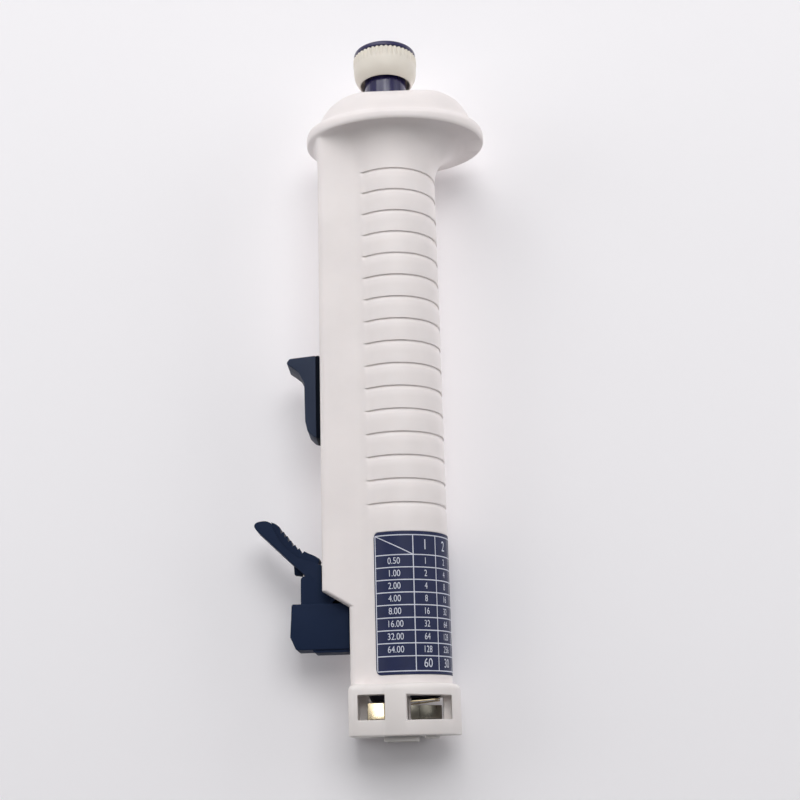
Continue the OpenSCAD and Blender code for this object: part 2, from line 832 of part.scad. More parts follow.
// Barrel that holds the plunger jaws, with ears that run on the guide rods.
module carriage() {
    color(black_pom)
    difference() {
        union() {
            translate([0, 0, carriage_z]) cylinder(r = barrel_r, h = carriage_top - carriage_z);
            intersection() {
                at_rods(rod_x, rod_y)
                    translate([0, 0, carriage_z + ear_rise]) cylinder(r = rod_r + ear_wall, h = ear_h);
                translate([0, 0, carriage_z]) cylinder(r = inner_r - clear, h = carriage_top);
            }
            translate([-block_back + 0.05, -block_half + 1, block_z])
                cube([block_back - 2, 2 * block_half - 2, block_h - 1]);
        }
        translate([0, 0, carriage_z - 1])
            at_rods(rod_x, rod_y) cylinder(r = rod_r + run, h = 40);
        translate([-jaw_flat - clear, -jaw_r - 0.9, carriage_z - 1])
            cube([2 * (jaw_flat + clear), 2 * (jaw_r + 0.9), jaw_top - carriage_z + 1.4]);
        for (side = [-1, 1])
            translate([-barrel_r - 2, side * jaw_pin_y, jaw_pin_z])
                rotate([0, 90, 0]) cylinder(r = jaw_pin_r, h = 2 * barrel_r + 4);
        translate([rack_x - rack_t, -rack_half, carriage_top - rack_toe])
            cube([rack_t, 2 * rack_half, rack_toe + 1]);
        for (z = [block_z + 4, block_z + 10])
            translate([-block_back - 1, 0, z]) rotate([0, 90, 0]) cylinder(r = screw_r, h = 5.2);
        rack_screw_place() cylinder(r = screw_r, h = 5.02);
    }
}

// Outer block of the slide: two cheeks with the release lever's foot between them.
module carriage_block() {
    chamfer = 3.6;
    color(navy)
    difference() {
        translate([0, block_half, 0]) rotate([90, 0, 0]) linear_extrude(2 * block_half)
            union() {
                polygon([[-block_reach, block_z + chamfer], [-block_reach + 1.2, block_z],
                    [-block_back, block_z], [-block_back, block_z + block_h],
                    [-block_reach + 0.4, block_z + block_h]]);
                translate([-block_back - 10.6, block_z - 0.8]) square([10.6, 0.9]);
                translate([pivot_x, pivot_z - 1.2]) circle(1.9);
            }
        translate([-block_reach + 1.6, -pocket_half, block_z + 1.4])
            cube([block_reach - block_back - 1.6 - 1.4, 2 * pocket_half, block_h + 4]);
        translate([pivot_x, 20, pivot_z]) rotate([90, 0, 0]) cylinder(r = pivot_r, h = 40);
        for (z = [block_z + 4, block_z + 10])
            translate([-block_back - 3, 0, z]) rotate([0, 90, 0]) cylinder(r = screw_r, h = 10);
    }
}

module block_screws() {
    color(steel)
    for (z = [block_z + 4, block_z + 10])
        translate([-block_back - 1.4, 0, z]) rotate([0, 90, 0]) {
            cylinder(r = screw_r, h = 5);
        }
}

// Saw-toothed rack: one tooth for each half of the smallest step.
module rack() {
    x0 = rack_x - rack_t;
    first = rack_top - rack_teeth * rack_pitch;
    color(steel)
    difference() {
    translate([0, rack_half - run, 0]) rotate([90, 0, 0]) linear_extrude(2 * (rack_half - run))
        polygon(concat(
            [[rack_x - run, carriage_top - rack_toe + run], [rack_x - run, rack_top], [x0, rack_top]],
            [for (i = [rack_teeth - 1:-1:0]) for (p = [0, 1])
                [x0 - (p == 0 ? rack_tooth : 0), first + i * rack_pitch + (p == 0 ? rack_pitch * 0.9 : 0)]],
            [[x0 + run, first - rack_pitch], [x0 + run, carriage_top - rack_toe + run]]));
    rack_screw_place() translate([0, 0, -1]) cylinder(r = screw_r, h = 7);
    }
}

module rack_screw_place() {
    translate([rack_x - rack_t + 0.1, 0, carriage_top - rack_toe / 2]) rotate([0, 90, 0]) children();
}

module rack_screws() {
    color(steel)
    rack_screw_place() cylinder(r = screw_r, h = 5);
}

module jaw_pins() {
    color(steel)
    for (side = [-1, 1])
        translate([-barrel_r + 1, side * jaw_pin_y, jaw_pin_z])
            rotate([0, 90, 0]) cylinder(r = jaw_pin_r, h = 2 * barrel_r - 2);
}

// One half of the plunger clamp, on the side given.
module jaw(side) {
    throat_r = 3.1;
    flat_z = carriage_z - 1;
    color(pom_white)
    difference() {
        intersection() {
            union() {
                translate([0, 0, jaw_z]) cylinder(r = jaw_r, h = flat_z - jaw_z);
                intersection() {
                    translate([0, 0, jaw_z]) cylinder(r = jaw_r, h = jaw_top - jaw_z);
                    translate([-jaw_flat, -10, jaw_z]) cube([2 * jaw_flat, 20, jaw_top - jaw_z]);
                }
            }
            translate([-10, side > 0 ? jaw_gap : -10 - jaw_gap, 0]) cube([20, 10, 60]);
        }
        translate([0, 0, jaw_z - 1]) cylinder(r = throat_r, h = 5);
        translate([0, 0, jaw_z + 2]) cylinder(r = throat_r + 1.2, h = 3);
        translate([-10, side * jaw_pin_y, jaw_pin_z])
            rotate([0, 90, 0]) cylinder(r = jaw_pin_r + run, h = 20);
    }
}

module front_jaw() { jaw(-1); }
module rear_jaw() { jaw(1); }

// ---------- release lever ----------

module pivot_pin() {
    color(steel)
    translate([pivot_x, block_half - 0.2, pivot_z])
        rotate([90, 0, 0]) cylinder(r = pivot_r, h = 2 * block_half - 0.4);
}

// Side outline of the release lever: foot in the block, stem up the slot, and slanted thumb plate.
// Curved face of the thumb plate that carries the grip pad, from its tip down to the stem.
thumb_face = [[-38.9, 63.1], [-36.6, 58.2], [-35.2, 56.2], [-33.4, 54.3], [-31.7, 53], [-30.2, 52.2],
    [-27.2, 51.2], [-24.5, 50.2]];

module lever_outline() {
    stem_l = 30;
    stem_r = keel_front + 0.3;
    polygon([
        [-stem_l, block_z + 5], [-stem_l, 47.4], [-31.2, 48.9], [-43.4, 61.2],
        [-43.9, 62.4], [-43.2, 63.4], [-41.2, 63.8], each thumb_face, [-stem_r, 49.9],
        [-stem_r, 44.6], [pivot_x - 1.5, pivot_z + 1.9], [pivot_x, pivot_z + 1.9],
        [pivot_x + 1.6, pivot_z + 0.6],
        [pivot_x + 1.6, pivot_z - 1.2], [pivot_x - 1, pivot_z - 3.4], [-stem_r, block_z + 5]]);
}

module release_lever() {
    heel_half = 1.5;
    color(navy)
    difference() {
        union() {
            translate([0, stem_half, 0]) rotate([90, 0, 0]) linear_extrude(2 * stem_half) lever_outline();
            // heel rib under the thumb plate
            translate([0, heel_half, 0]) rotate([90, 0, 0]) linear_extrude(2 * heel_half)
                polygon([[-29.8, 47.4], [-32.3, 47.8], [-32.6, 50], [-29.8, 50]]);
        }
        translate([pivot_x, 20, pivot_z]) rotate([90, 0, 0]) cylinder(r = pivot_r + run, h = 40);
    }
}

// Crowned grip pad let into the thumb plate, with round-bottomed valleys between its ribs.
module lever_pad() {
    half = stem_half - pad_inset;
    valley_r = 0.5;
    crest = [[-38.4, 63.3], [-37.4, 62.8], [-35.9, 61.5], [-34.3, 59.6], [-32.9, 57.8], [-31.3, 56.2],
        [-29.6, 54.8], [-27.8, 53.8], [-26, 53], [-24.5, 52]];
    bond = 0.02;
    seat = [for (i = [len(thumb_face) - 1:-1:0]) thumb_face[i] + [bond, bond]];
    color(navy)
    translate([0, half, 0]) rotate([90, 0, 0]) linear_extrude(2 * half)
        difference() {
            polygon(concat(crest, seat));
            for (i = [1:rib_count]) translate((crest[i] + crest[i + 1]) / 2) circle(valley_r, $fn = 24);
        }
}

// ---------- output ----------

housing();
nose();
tip_guide_ring();
guide_rods();
lower_plate();
mid_plate();
upper_plate();
tip_clip();
volume_label();
nose_screws();
plate_screws();
end_bumper();
step_rods();
detent_ball();
detent_spring();
dial_shaft();
dial_ring();
dial_disc();
dial_screw();
shaft_clip();
volume_cam();
cam_pin();
mask_slider();
step_lever();
step_carrier();
step_screws();
step_springs();
pawl_pin();
pawl();
carriage();
carriage_block();
block_screws();
rack();
rack_screws();
jaw_pins();
front_jaw();
rear_jaw();
pivot_pin();
release_lever();
lever_pad();
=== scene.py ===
"""Looks of a repeating pipette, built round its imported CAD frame.

Lengths in this script are millimetres until a mesh is made, when MM turns them into metres.
"""

from __future__ import annotations

import logging
import math
from dataclasses import dataclass, field
from enum import Enum
from typing import Callable, Iterable, Sequence

import bpy
import bmesh
from mathutils import Matrix, Vector


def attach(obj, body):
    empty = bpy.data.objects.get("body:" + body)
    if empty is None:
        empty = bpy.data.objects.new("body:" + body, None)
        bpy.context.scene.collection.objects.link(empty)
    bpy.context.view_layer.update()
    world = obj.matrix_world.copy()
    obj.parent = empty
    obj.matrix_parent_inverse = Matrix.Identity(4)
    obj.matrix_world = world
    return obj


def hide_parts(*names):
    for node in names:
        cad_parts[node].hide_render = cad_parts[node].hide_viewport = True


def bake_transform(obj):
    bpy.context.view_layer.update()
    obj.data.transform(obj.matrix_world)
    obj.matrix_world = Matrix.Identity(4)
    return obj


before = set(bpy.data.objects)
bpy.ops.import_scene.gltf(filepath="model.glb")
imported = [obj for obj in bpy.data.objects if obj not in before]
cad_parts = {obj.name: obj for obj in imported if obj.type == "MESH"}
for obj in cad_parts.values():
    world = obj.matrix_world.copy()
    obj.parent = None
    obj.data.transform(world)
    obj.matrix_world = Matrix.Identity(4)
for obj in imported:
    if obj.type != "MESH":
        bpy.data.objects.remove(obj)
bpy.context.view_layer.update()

log = logging.getLogger("pipette")

MM = 0.001

# A noise value lies nearly always between these two.
NOISE_LOW, NOISE_HIGH = 0.3, 0.7

Point2 = tuple[float, float]
Point3 = tuple[float, float, float]
Colour = tuple[float, float, float, float]


class Body(Enum):
    """Rigid bodies of the frame that pieces ride on."""

    ROOT = "body"
    DIAL = "dial"
    THUMB = "thumb_lever"
    SLIDE = "slide"
    RELEASE = "release"


# ---------------------------------------------------------------- colour and nodes


def srgb(code: str) -> Colour:
    """Turns an sRGB hex code into linear RGBA.

    Args:
        code: Six hex digits, such as "20294A".

    Returns:
        Linear red, green, blue and an alpha of 1.
    """
    channels = [int(code[i : i + 2], 16) / 255 for i in (0, 2, 4)]
    linear = [c / 12.92 if c <= 0.04045 else ((c + 0.055) / 1.055) ** 2.4 for c in channels]
    return (linear[0], linear[1], linear[2], 1.0)


def add_node(
    tree: bpy.types.NodeTree, kind: str, inputs: dict[str | int, object] | None = None, **props: object
) -> bpy.types.Node:
    """Adds one shader node, sets its properties and fills or links its inputs.

    Args:
        tree: The tree that gets the node.
        kind: The node's type name.
        inputs: Socket name or index to a value, or to the output socket that feeds it.
        props: Plain properties of the node.

    Returns:
        The new node.
    """
    node = tree.nodes.new(kind)
    for key, value in props.items():
        setattr(node, key, value)
    for key, value in (inputs or {}).items():
        if isinstance(value, bpy.types.NodeSocket):
            tree.links.new(value, node.inputs[key])
        else:
            node.inputs[key].default_value = value
    return node


@dataclass(frozen=True)
class Finish:
    """What a surface is made of, with pattern sizes in millimetres."""

    name: str
    colour: str
    roughness: float = 0.5

    def build(self) -> bpy.types.Material:
        """Makes the material.

        Returns:
            The finished Blender material.
        """
        material = bpy.data.materials.new(self.name)
        material.use_nodes = True
        tree = material.node_tree
        tree.nodes.clear()
        place = add_node(tree, "ShaderNodeTexCoord").outputs["Object"]
        shader = self.shader(tree, place)
        add_node(tree, "ShaderNodeOutputMaterial", {"Surface": shader.outputs[0]})
        material.diffuse_color = srgb(self.colour)
        return material

    def shader(self, tree: bpy.types.NodeTree, place: bpy.types.NodeSocket) -> bpy.types.Node:
        """Makes the surface shader.

        Args:
            tree: The material's node tree.
            place: Object coordinates in metres.

        Returns:
            The node whose first output is the surface.
        """
        raise NotImplementedError


def shade(colour: str, factor: float) -> Colour:
    """Scales an sRGB hex colour in linear light.

    Args:
        colour: Six hex digits.
        factor: Multiplier of each channel.

    Returns:
        Linear RGBA.
    """
    r, g, b, a = srgb(colour)
    return (min(r * factor, 1), min(g * factor, 1), min(b * factor, 1), a)


@dataclass(frozen=True)
class MouldedPlastic(Finish):
    """Injection-moulded plastic: a fine spark-eroded grain with faint flow clouds and handling marks.

    The real grain is a few hundredths of a millimetre; it is drawn coarser, at the size that still shows.
    """

    grain: float = 0.22
    grain_depth: float = 0.006
    cloud: float = 14.0
    cloud_depth: float = 0.03
    edge: float = 0.25
    clear: float = 0.0
    glow: float = 0.0
    sheen: float = 0.5

    def shader(self, tree: bpy.types.NodeTree, place: bpy.types.NodeSocket) -> bpy.types.Node:
        """Makes plastic with a clouded colour, worn gloss and grain over rounded edges.

        Args:
            tree: The material's node tree.
            place: Object coordinates in metres.

        Returns:
            The plastic's shader.
        """
        clouds, marks, grain = (
            add_node(tree, "ShaderNodeTexNoise", {
                "Vector": place, "Scale": 1 / (size * MM), "Detail": detail, "Roughness": rough}).outputs["Fac"]
            for size, detail, rough in ((self.cloud, 3, 0.5), (self.cloud / 3, 4, 0.6), (self.grain, 3, 0.65))
        )
        lightness, gloss = (
            add_node(tree, "ShaderNodeMapRange", {
                "Value": value, "From Min": NOISE_LOW, "From Max": NOISE_HIGH, "To Min": low, "To Max": high,
            }).outputs["Result"]
            for value, low, high in ((clouds, 0, 1), (marks, self.roughness - 0.05, self.roughness + 0.06))
        )
        colour = add_node(tree, "ShaderNodeMix", {
            0: lightness, 6: shade(self.colour, 1 - self.cloud_depth), 7: shade(self.colour, 1 + self.cloud_depth),
        }, data_type="RGBA")
        rounded = add_node(tree, "ShaderNodeBevel", {"Radius": self.edge * MM}, samples=4)
        bump = add_node(tree, "ShaderNodeBump", {
            "Height": grain, "Strength": 0.5, "Distance": self.grain_depth * MM * 4,
            "Normal": rounded.outputs["Normal"],
        })
        return add_node(tree, "ShaderNodeBsdfPrincipled", {
            "Base Color": colour.outputs[2], "Roughness": gloss, "Normal": bump.outputs["Normal"], "IOR": 1.5,
            "Specular IOR Level": self.sheen, "Coat Weight": self.clear, "Coat Roughness": 0.08,
            "Subsurface Weight": self.glow, "Subsurface Radius": (1.0, 0.9, 0.8), "Subsurface Scale": 0.8 * MM,
        })


@dataclass(frozen=True)
class GroundSteel(Finish):
    """Ground stainless steel: fine scratches along one direction and a soft smear of oil."""

    along: Point3 = (1.0, 1.0, 0.03)
    scratch: float = 0.08
    smear: float = 4.0

    def shader(self, tree: bpy.types.NodeTree, place: bpy.types.NodeSocket) -> bpy.types.Node:
        """Makes steel with drawn-out scratches and uneven gloss.

        Args:
            tree: The material's node tree.
            place: Object coordinates in metres.

        Returns:
            The steel's shader.
        """
        drawn_out = add_node(
            tree, "ShaderNodeMapping", {"Vector": place, "Scale": self.along}, vector_type="POINT"
        ).outputs["Vector"]
        scratches, smears = (
            add_node(tree, "ShaderNodeTexNoise", {
                "Vector": where, "Scale": 1 / (size * MM), "Detail": detail, "Roughness": rough}).outputs["Fac"]
            for where, size, detail, rough in ((drawn_out, self.scratch, 2, 0.7), (place, self.smear, 3, 0.5))
        )
        lightness, gloss = (
            add_node(tree, "ShaderNodeMapRange", {
                "Value": value, "From Min": NOISE_LOW, "From Max": NOISE_HIGH, "To Min": low, "To Max": high,
            }).outputs["Result"]
            for value, low, high in ((scratches, 0, 1), (smears, self.roughness - 0.06, self.roughness + 0.08))
        )
        colour = add_node(tree, "ShaderNodeMix", {
            0: lightness, 6: shade(self.colour, 0.9), 7: shade(self.colour, 1.06)}, data_type="RGBA")
        rounded = add_node(tree, "ShaderNodeBevel", {"Radius": 0.06 * MM}, samples=4)
        bump = add_node(tree, "ShaderNodeBump", {
            "Height": scratches, "Strength": 0.35, "Distance": 0.01 * MM, "Normal": rounded.outputs["Normal"]})
        return add_node(tree, "ShaderNodeBsdfPrincipled", {
            "Base Color": colour.outputs[2], "Metallic": 1.0, "Roughness": gloss, "Normal": bump.outputs["Normal"]})


@dataclass(frozen=True)
class PrintedFilm(Finish):
    """Screen-printed film: a smooth, faintly uneven ink layer under a thin clear coat."""

    wave: float = 3.0
    screen: float = 0.12

    def shader(self, tree: bpy.types.NodeTree, place: bpy.types.NodeSocket) -> bpy.types.Node:
        """Makes ink with the screen's fine dots under a soft coat.

        Args:
            tree: The material's node tree.
            place: Object coordinates in metres.

        Returns:
            The film's shader.
        """
        waves, dots = (
            add_node(tree, "ShaderNodeTexNoise", {
                "Vector": place, "Scale": 1 / (size * MM), "Detail": detail, "Roughness": rough}).outputs["Fac"]
            for size, detail, rough in ((self.wave, 3, 0.5), (self.screen, 2, 0.6))
        )
        lightness, gloss = (
            add_node(tree, "ShaderNodeMapRange", {
                "Value": value, "From Min": NOISE_LOW, "From Max": NOISE_HIGH, "To Min": low, "To Max": high,
            }).outputs["Result"]
            for value, low, high in ((waves, 0, 1), (dots, self.roughness - 0.03, self.roughness + 0.04))
        )
        colour = add_node(tree, "ShaderNodeMix", {
            0: lightness, 6: shade(self.colour, 0.93), 7: shade(self.colour, 1.07)}, data_type="RGBA")
        bump = add_node(tree, "ShaderNodeBump", {"Height": dots, "Strength": 0.2, "Distance": 0.004 * MM})
        return add_node(tree, "ShaderNodeBsdfPrincipled", {
            "Base Color": colour.outputs[2], "Roughness": gloss, "Normal": bump.outputs["Normal"],
            "Specular IOR Level": 0.25, "Coat Weight": 0.08, "Coat Roughness": 0.3,
        })


# Spark-eroded ABS: the fine grain breaks up the light so the white body has no mirror highlight.
SHELL = MouldedPlastic("shell_abs_off_white", "ECE5E3", 0.5, glow=0.12, edge=0.3)
# The same resin, a touch greyer and smoother, because the nose is a part of its own.
NOSE = MouldedPlastic("nose_abs_off_white", "E7E1DE", 0.48, glow=0.12, edge=0.3)
# Creamier resin of another batch: the dial ring looks warmer than the body.
IVORY = MouldedPlastic("dial_ivory_abs", "E2DBCF", 0.42, glow=0.12, edge=0.15)
# Plain natural acetal: the guide ring under the nose is greyer than the shell.
NATURAL = MouldedPlastic("guide_natural_acetal", "E6E3DF", 0.4, glow=0.15, edge=0.1)
# Glass-filled nylon: dark blue with a soft sheen along its rounded edges.
NAVY = MouldedPlastic("lever_navy_nylon", "1B273F", 0.55, grain=0.3, cloud_depth=0.08, edge=0.2, sheen=0.08)
# Painted light: the block's navy nylon, painted paler and greyer for the hook, whose face is lit more; a touch
# glossier too.
HOOK_PAINTED_LIT = MouldedPlastic("hook_navy_painted_lit", "31394B", 0.5, grain=0.3, cloud_depth=0.08, edge=0.2, sheen=0.1)
# Painted shade: a nearly black strip without sheen behind the hook, standing for the shaded recess between hook and
# keel.
SEAT_PAINTED_SHADE = MouldedPlastic("seat_painted_shade_nylon", "0A0F1B", 0.6, grain=0.2, cloud_depth=0.1, edge=0.1, sheen=0.05)
# Polished dark tube: it picks up narrow vertical highlights.
NAVY_GLOSS = MouldedPlastic(
    "neck_polished_navy", "201C48", 0.16, grain=0.6, grain_depth=0.001, cloud_depth=0.05, clear=0.6, edge=0.1
)
# Satin disc: the same violet blue as the neck, with a broad soft highlight.
DISC = MouldedPlastic("disc_satin_navy", "221F4C", 0.3, grain=0.3, cloud_depth=0.05, clear=0.2, edge=0.15)
# Machined black acetal: even and dark, so the plates stay back behind the slot.
BLACK_POM = MouldedPlastic("acetal_black", "1B1C20", 0.42, grain=0.15, cloud_depth=0.08, edge=0.12)
# Moulded white acetal: slightly waxy, with light that sinks in a little.
WHITE_POM = MouldedPlastic("acetal_white", "D8D7D0", 0.38, grain=0.15, glow=0.1, edge=0.12)
# Nitrile elastomer: matt and nearly black, without a highlight.
RUBBER = MouldedPlastic("bumper_elastomer", "26272B", 0.75, grain=0.1, grain_depth=0.01, cloud_depth=0.1)
# Centreless-ground stainless bar: long highlights down the rods and round the screws.
STEEL = GroundSteel("steel_ground", "C9C9C8", 0.3)
# Drawn spring wire: darker and glossier, with scratches in every direction.
WIRE = GroundSteel("steel_spring_wire", "A9ABAE", 0.24, along=(1.0, 1.0, 1.0))
# Painted highlight: a brighter, warmer copy of the clip's stainless strip, so the catch and tongue shine warm.
CLIP_PAINTED_HIGHLIGHT = GroundSteel("steel_clip_painted_highlight", "E0D0AE", 0.22, along=(0.05, 0.05, 1.0))
# Painted shade: a duller, darker copy of the clip's steel for its side plates, and a darker one still for its upper
# edge, standing for the shadow under the windows' tops.
CLIP_PAINTED_SHADE = GroundSteel("steel_clip_painted_shade", "6F6C63", 0.3, along=(0.05, 0.05, 1.0))
CLIP_PAINTED_DEEP_SHADE = GroundSteel("steel_clip_painted_deep_shade", "34343F", 0.4, along=(0.05, 0.05, 1.0))
# Polyester film printed dark blue: flatter than the levers, with a thin clear coat.
FILM = PrintedFilm("label_film_navy", "1E264A", 0.5)
# Screen ink of the table: a cool white that lets a little of the blue through.
INK = PrintedFilm("label_ink_white", "D3D6E2", 0.5)


# ---------------------------------------------------------------- mesh helpers


@dataclass
class Materials:
    """Builds each finish once."""

    made: dict[str, bpy.types.Material] = field(default_factory=dict)

    def get(self, finish: Finish) -> bpy.types.Material:
        """Gives the material of a finish.

        Args:
            finish: The finish to look up.

        Returns:
            The Blender material.
        """
        if finish.name not in self.made:
            self.made[finish.name] = finish.build()
        return self.made[finish.name]


MATERIALS = Materials()


def raw_mesh(name: str, points: Iterable[Point3], faces: Iterable[Sequence[int]]) -> bpy.types.Object:
    """Makes an object from points in millimetres.

    Args:
        name: Object name.
        points: Corners in millimetres.
        faces: Corner indices of each face.

    Returns:
        The new object, linked to the scene.
    """
    mesh = bpy.data.meshes.new(name)
    mesh.from_pydata([(x * MM, y * MM, z * MM) for x, y, z in points], [], [tuple(f) for f in faces])
    mesh.validate()
    made = bpy.data.objects.new(name, mesh)
    bpy.context.scene.collection.objects.link(made)
    return made


def bake(obj: bpy.types.Object) -> bpy.types.Object:
    """Turns an object's modifiers into plain mesh.

    Args:
        obj: The object to bake.

    Returns:
        The same object.
    """
    graph = bpy.context.evaluated_depsgraph_get()
    baked = bpy.data.meshes.new_from_object(obj.evaluated_get(graph))
    old = obj.data
    obj.modifiers.clear()
    obj.data = baked
    bpy.data.meshes.remove(old)
    return obj


def cut(obj: bpy.types.Object, *cutters: bpy.types.Object) -> bpy.types.Object:
    """Takes the cutters away from an object and removes them.

    Args:
        obj: The closed solid that is cut.
        cutters: Closed solids to take away.

    Returns:
        The cut object.
    """
    for cutter in cutters:
        tool = obj.modifiers.new("cut", "BOOLEAN")
        tool.operation = "DIFFERENCE"
        tool.solver = "MANIFOLD"
        tool.object = cutter
        bake(obj)
        bpy.data.objects.remove(cutter)
    return obj


def soften(obj: bpy.types.Object, width: float, angle: float = 40, segments: int = 3) -> bpy.types.Object:
    """Rounds the sharp edges of a solid.

    Args:
        obj: The solid.
        width: Width of the rounding in millimetres.
        angle: Edges sharper than this, in degrees, are rounded.
        segments: Faces across a rounding.

    Returns:
        The same object.
    """
    tool = obj.modifiers.new("round", "BEVEL")
    tool.width = width * MM
    tool.segments = segments
    tool.limit_method = "ANGLE"
    tool.angle_limit = math.radians(angle)
    tool.harden_normals = False
    return bake(obj)


def finish_piece(
    obj: bpy.types.Object, finish: Finish, body: Body, replaces: Sequence[str] = (), angle: float = 35
) -> bpy.types.Object:
    """Shades a piece, gives it its material and hangs it on its body.

    Args:
        obj: The piece.
        finish: Its finish.
        body: The body it rides on.
        replaces: CAD nodes that it stands for.
        angle: Edges sharper than this, in degrees, stay sharp.

    Returns:
        The piece.
    """
    obj.data.materials.clear()
    obj.data.materials.append(MATERIALS.get(finish))
    obj.data.shade_smooth()
    obj.data.set_sharp_from_angle(angle=math.radians(angle))
    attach(obj, body.value)
    if replaces:
        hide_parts(*replaces)
    return obj


def loft(name: str, rings: Sequence[Sequence[Point3]], closed_ends: bool = True) -> bpy.types.Object:
    """Joins closed rings of equal point count into a skin.

    Args:
        name: Object name.
        rings: Rings from the first end to the last, anticlockwise seen from the last end.
        closed_ends: Whether the two ends are capped.

    Returns:
        The new object.
    """
    count = len(rings[0])
    points = [p for ring in rings for p in ring]
    faces: list[Sequence[int]] = []
    for k in range(len(rings) - 1):
        a, b = k * count, (k + 1) * count
        faces += [(a + i, a + (i + 1) % count, b + (i + 1) % count, b + i) for i in range(count)]
    if closed_ends:
        faces.append(tuple(reversed(range(count))))
        top = (len(rings) - 1) * count
        faces.append(tuple(range(top, top + count)))
    return raw_mesh(name, points, faces)


def box(name: str, low: Point3, high: Point3) -> bpy.types.Object:
    """Makes a box between two corners.

    Args:
        name: Object name.
        low: Lowest corner in millimetres.
        high: Highest corner in millimetres.

    Returns:
        The box.
    """
    (x0, y0, z0), (x1, y1, z1) = low, high
    ring = [(x0, y0), (x1, y0), (x1, y1), (x0, y1)]
    return loft(name, [[(x, y, z) for x, y in ring] for z in (z0, z1)])


def lathe(
    name: str, profile: Sequence[Point2], centre: Point2 = (0, 0), steps: int = 128, closed: bool = False,
    ripple: Callable[[float, float, float], float] | None = None,
) -> bpy.types.Object:
    """Turns a profile round a vertical axis.

    Args:
        name: Object name.
        profile: Radius and height pairs; from the foot outwards and up unless it is closed.
        centre: Where the axis stands.
        steps: Points round the axis.
        closed: Whether the profile is a closed loop, as for a ring.
        ripple: Gives the radius for an angle in radians, a radius and a height.

    Returns:
        The turned object.
    """
    rings = []
    for r, z in profile:
        ring = []
        for i in range(steps):
            a = 2 * math.pi * i / steps
            q = ripple(a, r, z) if ripple else r
            ring.append((centre[0] + q * math.cos(a), centre[1] + q * math.sin(a), z))
        rings.append(ring)
    if not closed:
        return loft(name, rings)
    made = loft(name, rings + [rings[0]], closed_ends=False)
    weld(made)
    return made


def weld(obj: bpy.types.Object, distance: float = 0.0005) -> bpy.types.Object:
    """Merges corners that lie together and makes the normals point out.

    Args:
        obj: The object.
        distance: Merge distance in millimetres.

    Returns:
        The same object.
    """
    edit = bmesh.new()
    edit.from_mesh(obj.data)
    bmesh.ops.remove_doubles(edit, verts=edit.verts, dist=distance * MM)
    bmesh.ops.recalc_face_normals(edit, faces=edit.faces)
    edit.to_mesh(obj.data)
    edit.free()
    return obj


def rod(name: str, radius: float, start: Point3, end: Point3, steps: int = 48) -> bpy.types.Object:
    """Makes a round bar between two points.

    Args:
        name: Object name.
        radius: Radius in millimetres.
        start: Centre of the first end.
        end: Centre of the last end.
        steps: Points round the bar.

    Returns:
        The bar.
    """
    a, b = Vector(start), Vector(end)
    turn = (b - a).to_track_quat("Z", "Y")
    rings = [
        [tuple(p + turn @ Vector((radius * math.cos(t), radius * math.sin(t), 0)))
         for t in (2 * math.pi * i / steps for i in range(steps))]
        for p in (a, b)
    ]
    return loft(name, rings)


def rounded(points: Sequence[tuple[float, float, float]], step: float = 9) -> list[Point2]:
    """Rounds the corners of a closed outline.

    Args:
        points: Corner x, z and radius.
        step: Degrees per arc segment.

    Returns:
        The outline with arcs for corners.
    """
    made: list[Point2] = []
    count = len(points)
    for i, (x, z, radius) in enumerate(points):
        here = Vector((x, z))
        before = Vector(points[i - 1][:2]) - here
        after = Vector(points[(i + 1) % count][:2]) - here
        if radius <= 0:
            made.append((x, z))
            continue
        angle = before.angle(after)
        reach = min(radius / math.tan(angle / 2), before.length * 0.49, after.length * 0.49)
        radius = reach * math.tan(angle / 2)
        a, b = before.normalized(), after.normalized()
        start = here + a * reach
        middle = here + (a + b).normalized() * (radius / math.sin(angle / 2))
        sweep = (start - middle).angle_signed(here + b * reach - middle)
        pieces = max(2, int(abs(math.degrees(sweep)) / step) + 1)
        arm = start - middle
        for k in range(pieces + 1):
            t = -sweep * k / pieces
            made.append((middle.x + arm.x * math.cos(t) - arm.y * math.sin(t),
                         middle.y + arm.x * math.sin(t) + arm.y * math.cos(t)))
    return made


def smooth_path(points: Sequence[Point2], pieces: int = 6) -> list[Point2]:
    """Draws a smooth curve through points.

    Args:
        points: Points the curve passes through.
        pieces: Segments between neighbouring points.

    Returns:
        Points along the curve.
    """
    made: list[Point2] = []
    for i in range(len(points) - 1):
        p0, p1, p2, p3 = (Vector(points[min(max(k, 0), len(points) - 1)]) for k in (i - 1, i, i + 1, i + 2))
        for k in range(pieces):
            t = k / pieces
            v = 0.5 * ((2 * p1) + (p2 - p0) * t + (2 * p0 - 5 * p1 + 4 * p2 - p3) * t * t
                       + (3 * p1 - p0 - 3 * p2 + p3) * t ** 3)
            made.append((v.x, v.y))
    made.append(tuple(points[-1]))
    return made


def plate(
    name: str, outline: Sequence[Point2], half: float, round_edge: float = 0.0, y: float = 0.0
) -> bpy.types.Object:
    """Extrudes an x, z outline across Y and rounds its rims.

    Args:
        name: Object name.
        outline: Closed outline.
        half: Half the width.
        round_edge: Width of the rounding along both rims.
        y: Middle of the plate.

    Returns:
        The plate.
    """
    rings = [[(x, y + side * half, z) for x, z in outline] for side in (-1, 1)]
    made = weld(loft(name, rings))
    return soften(made, round_edge, 50, 4) if round_edge else made


# ---------------------------------------------------------------- the body


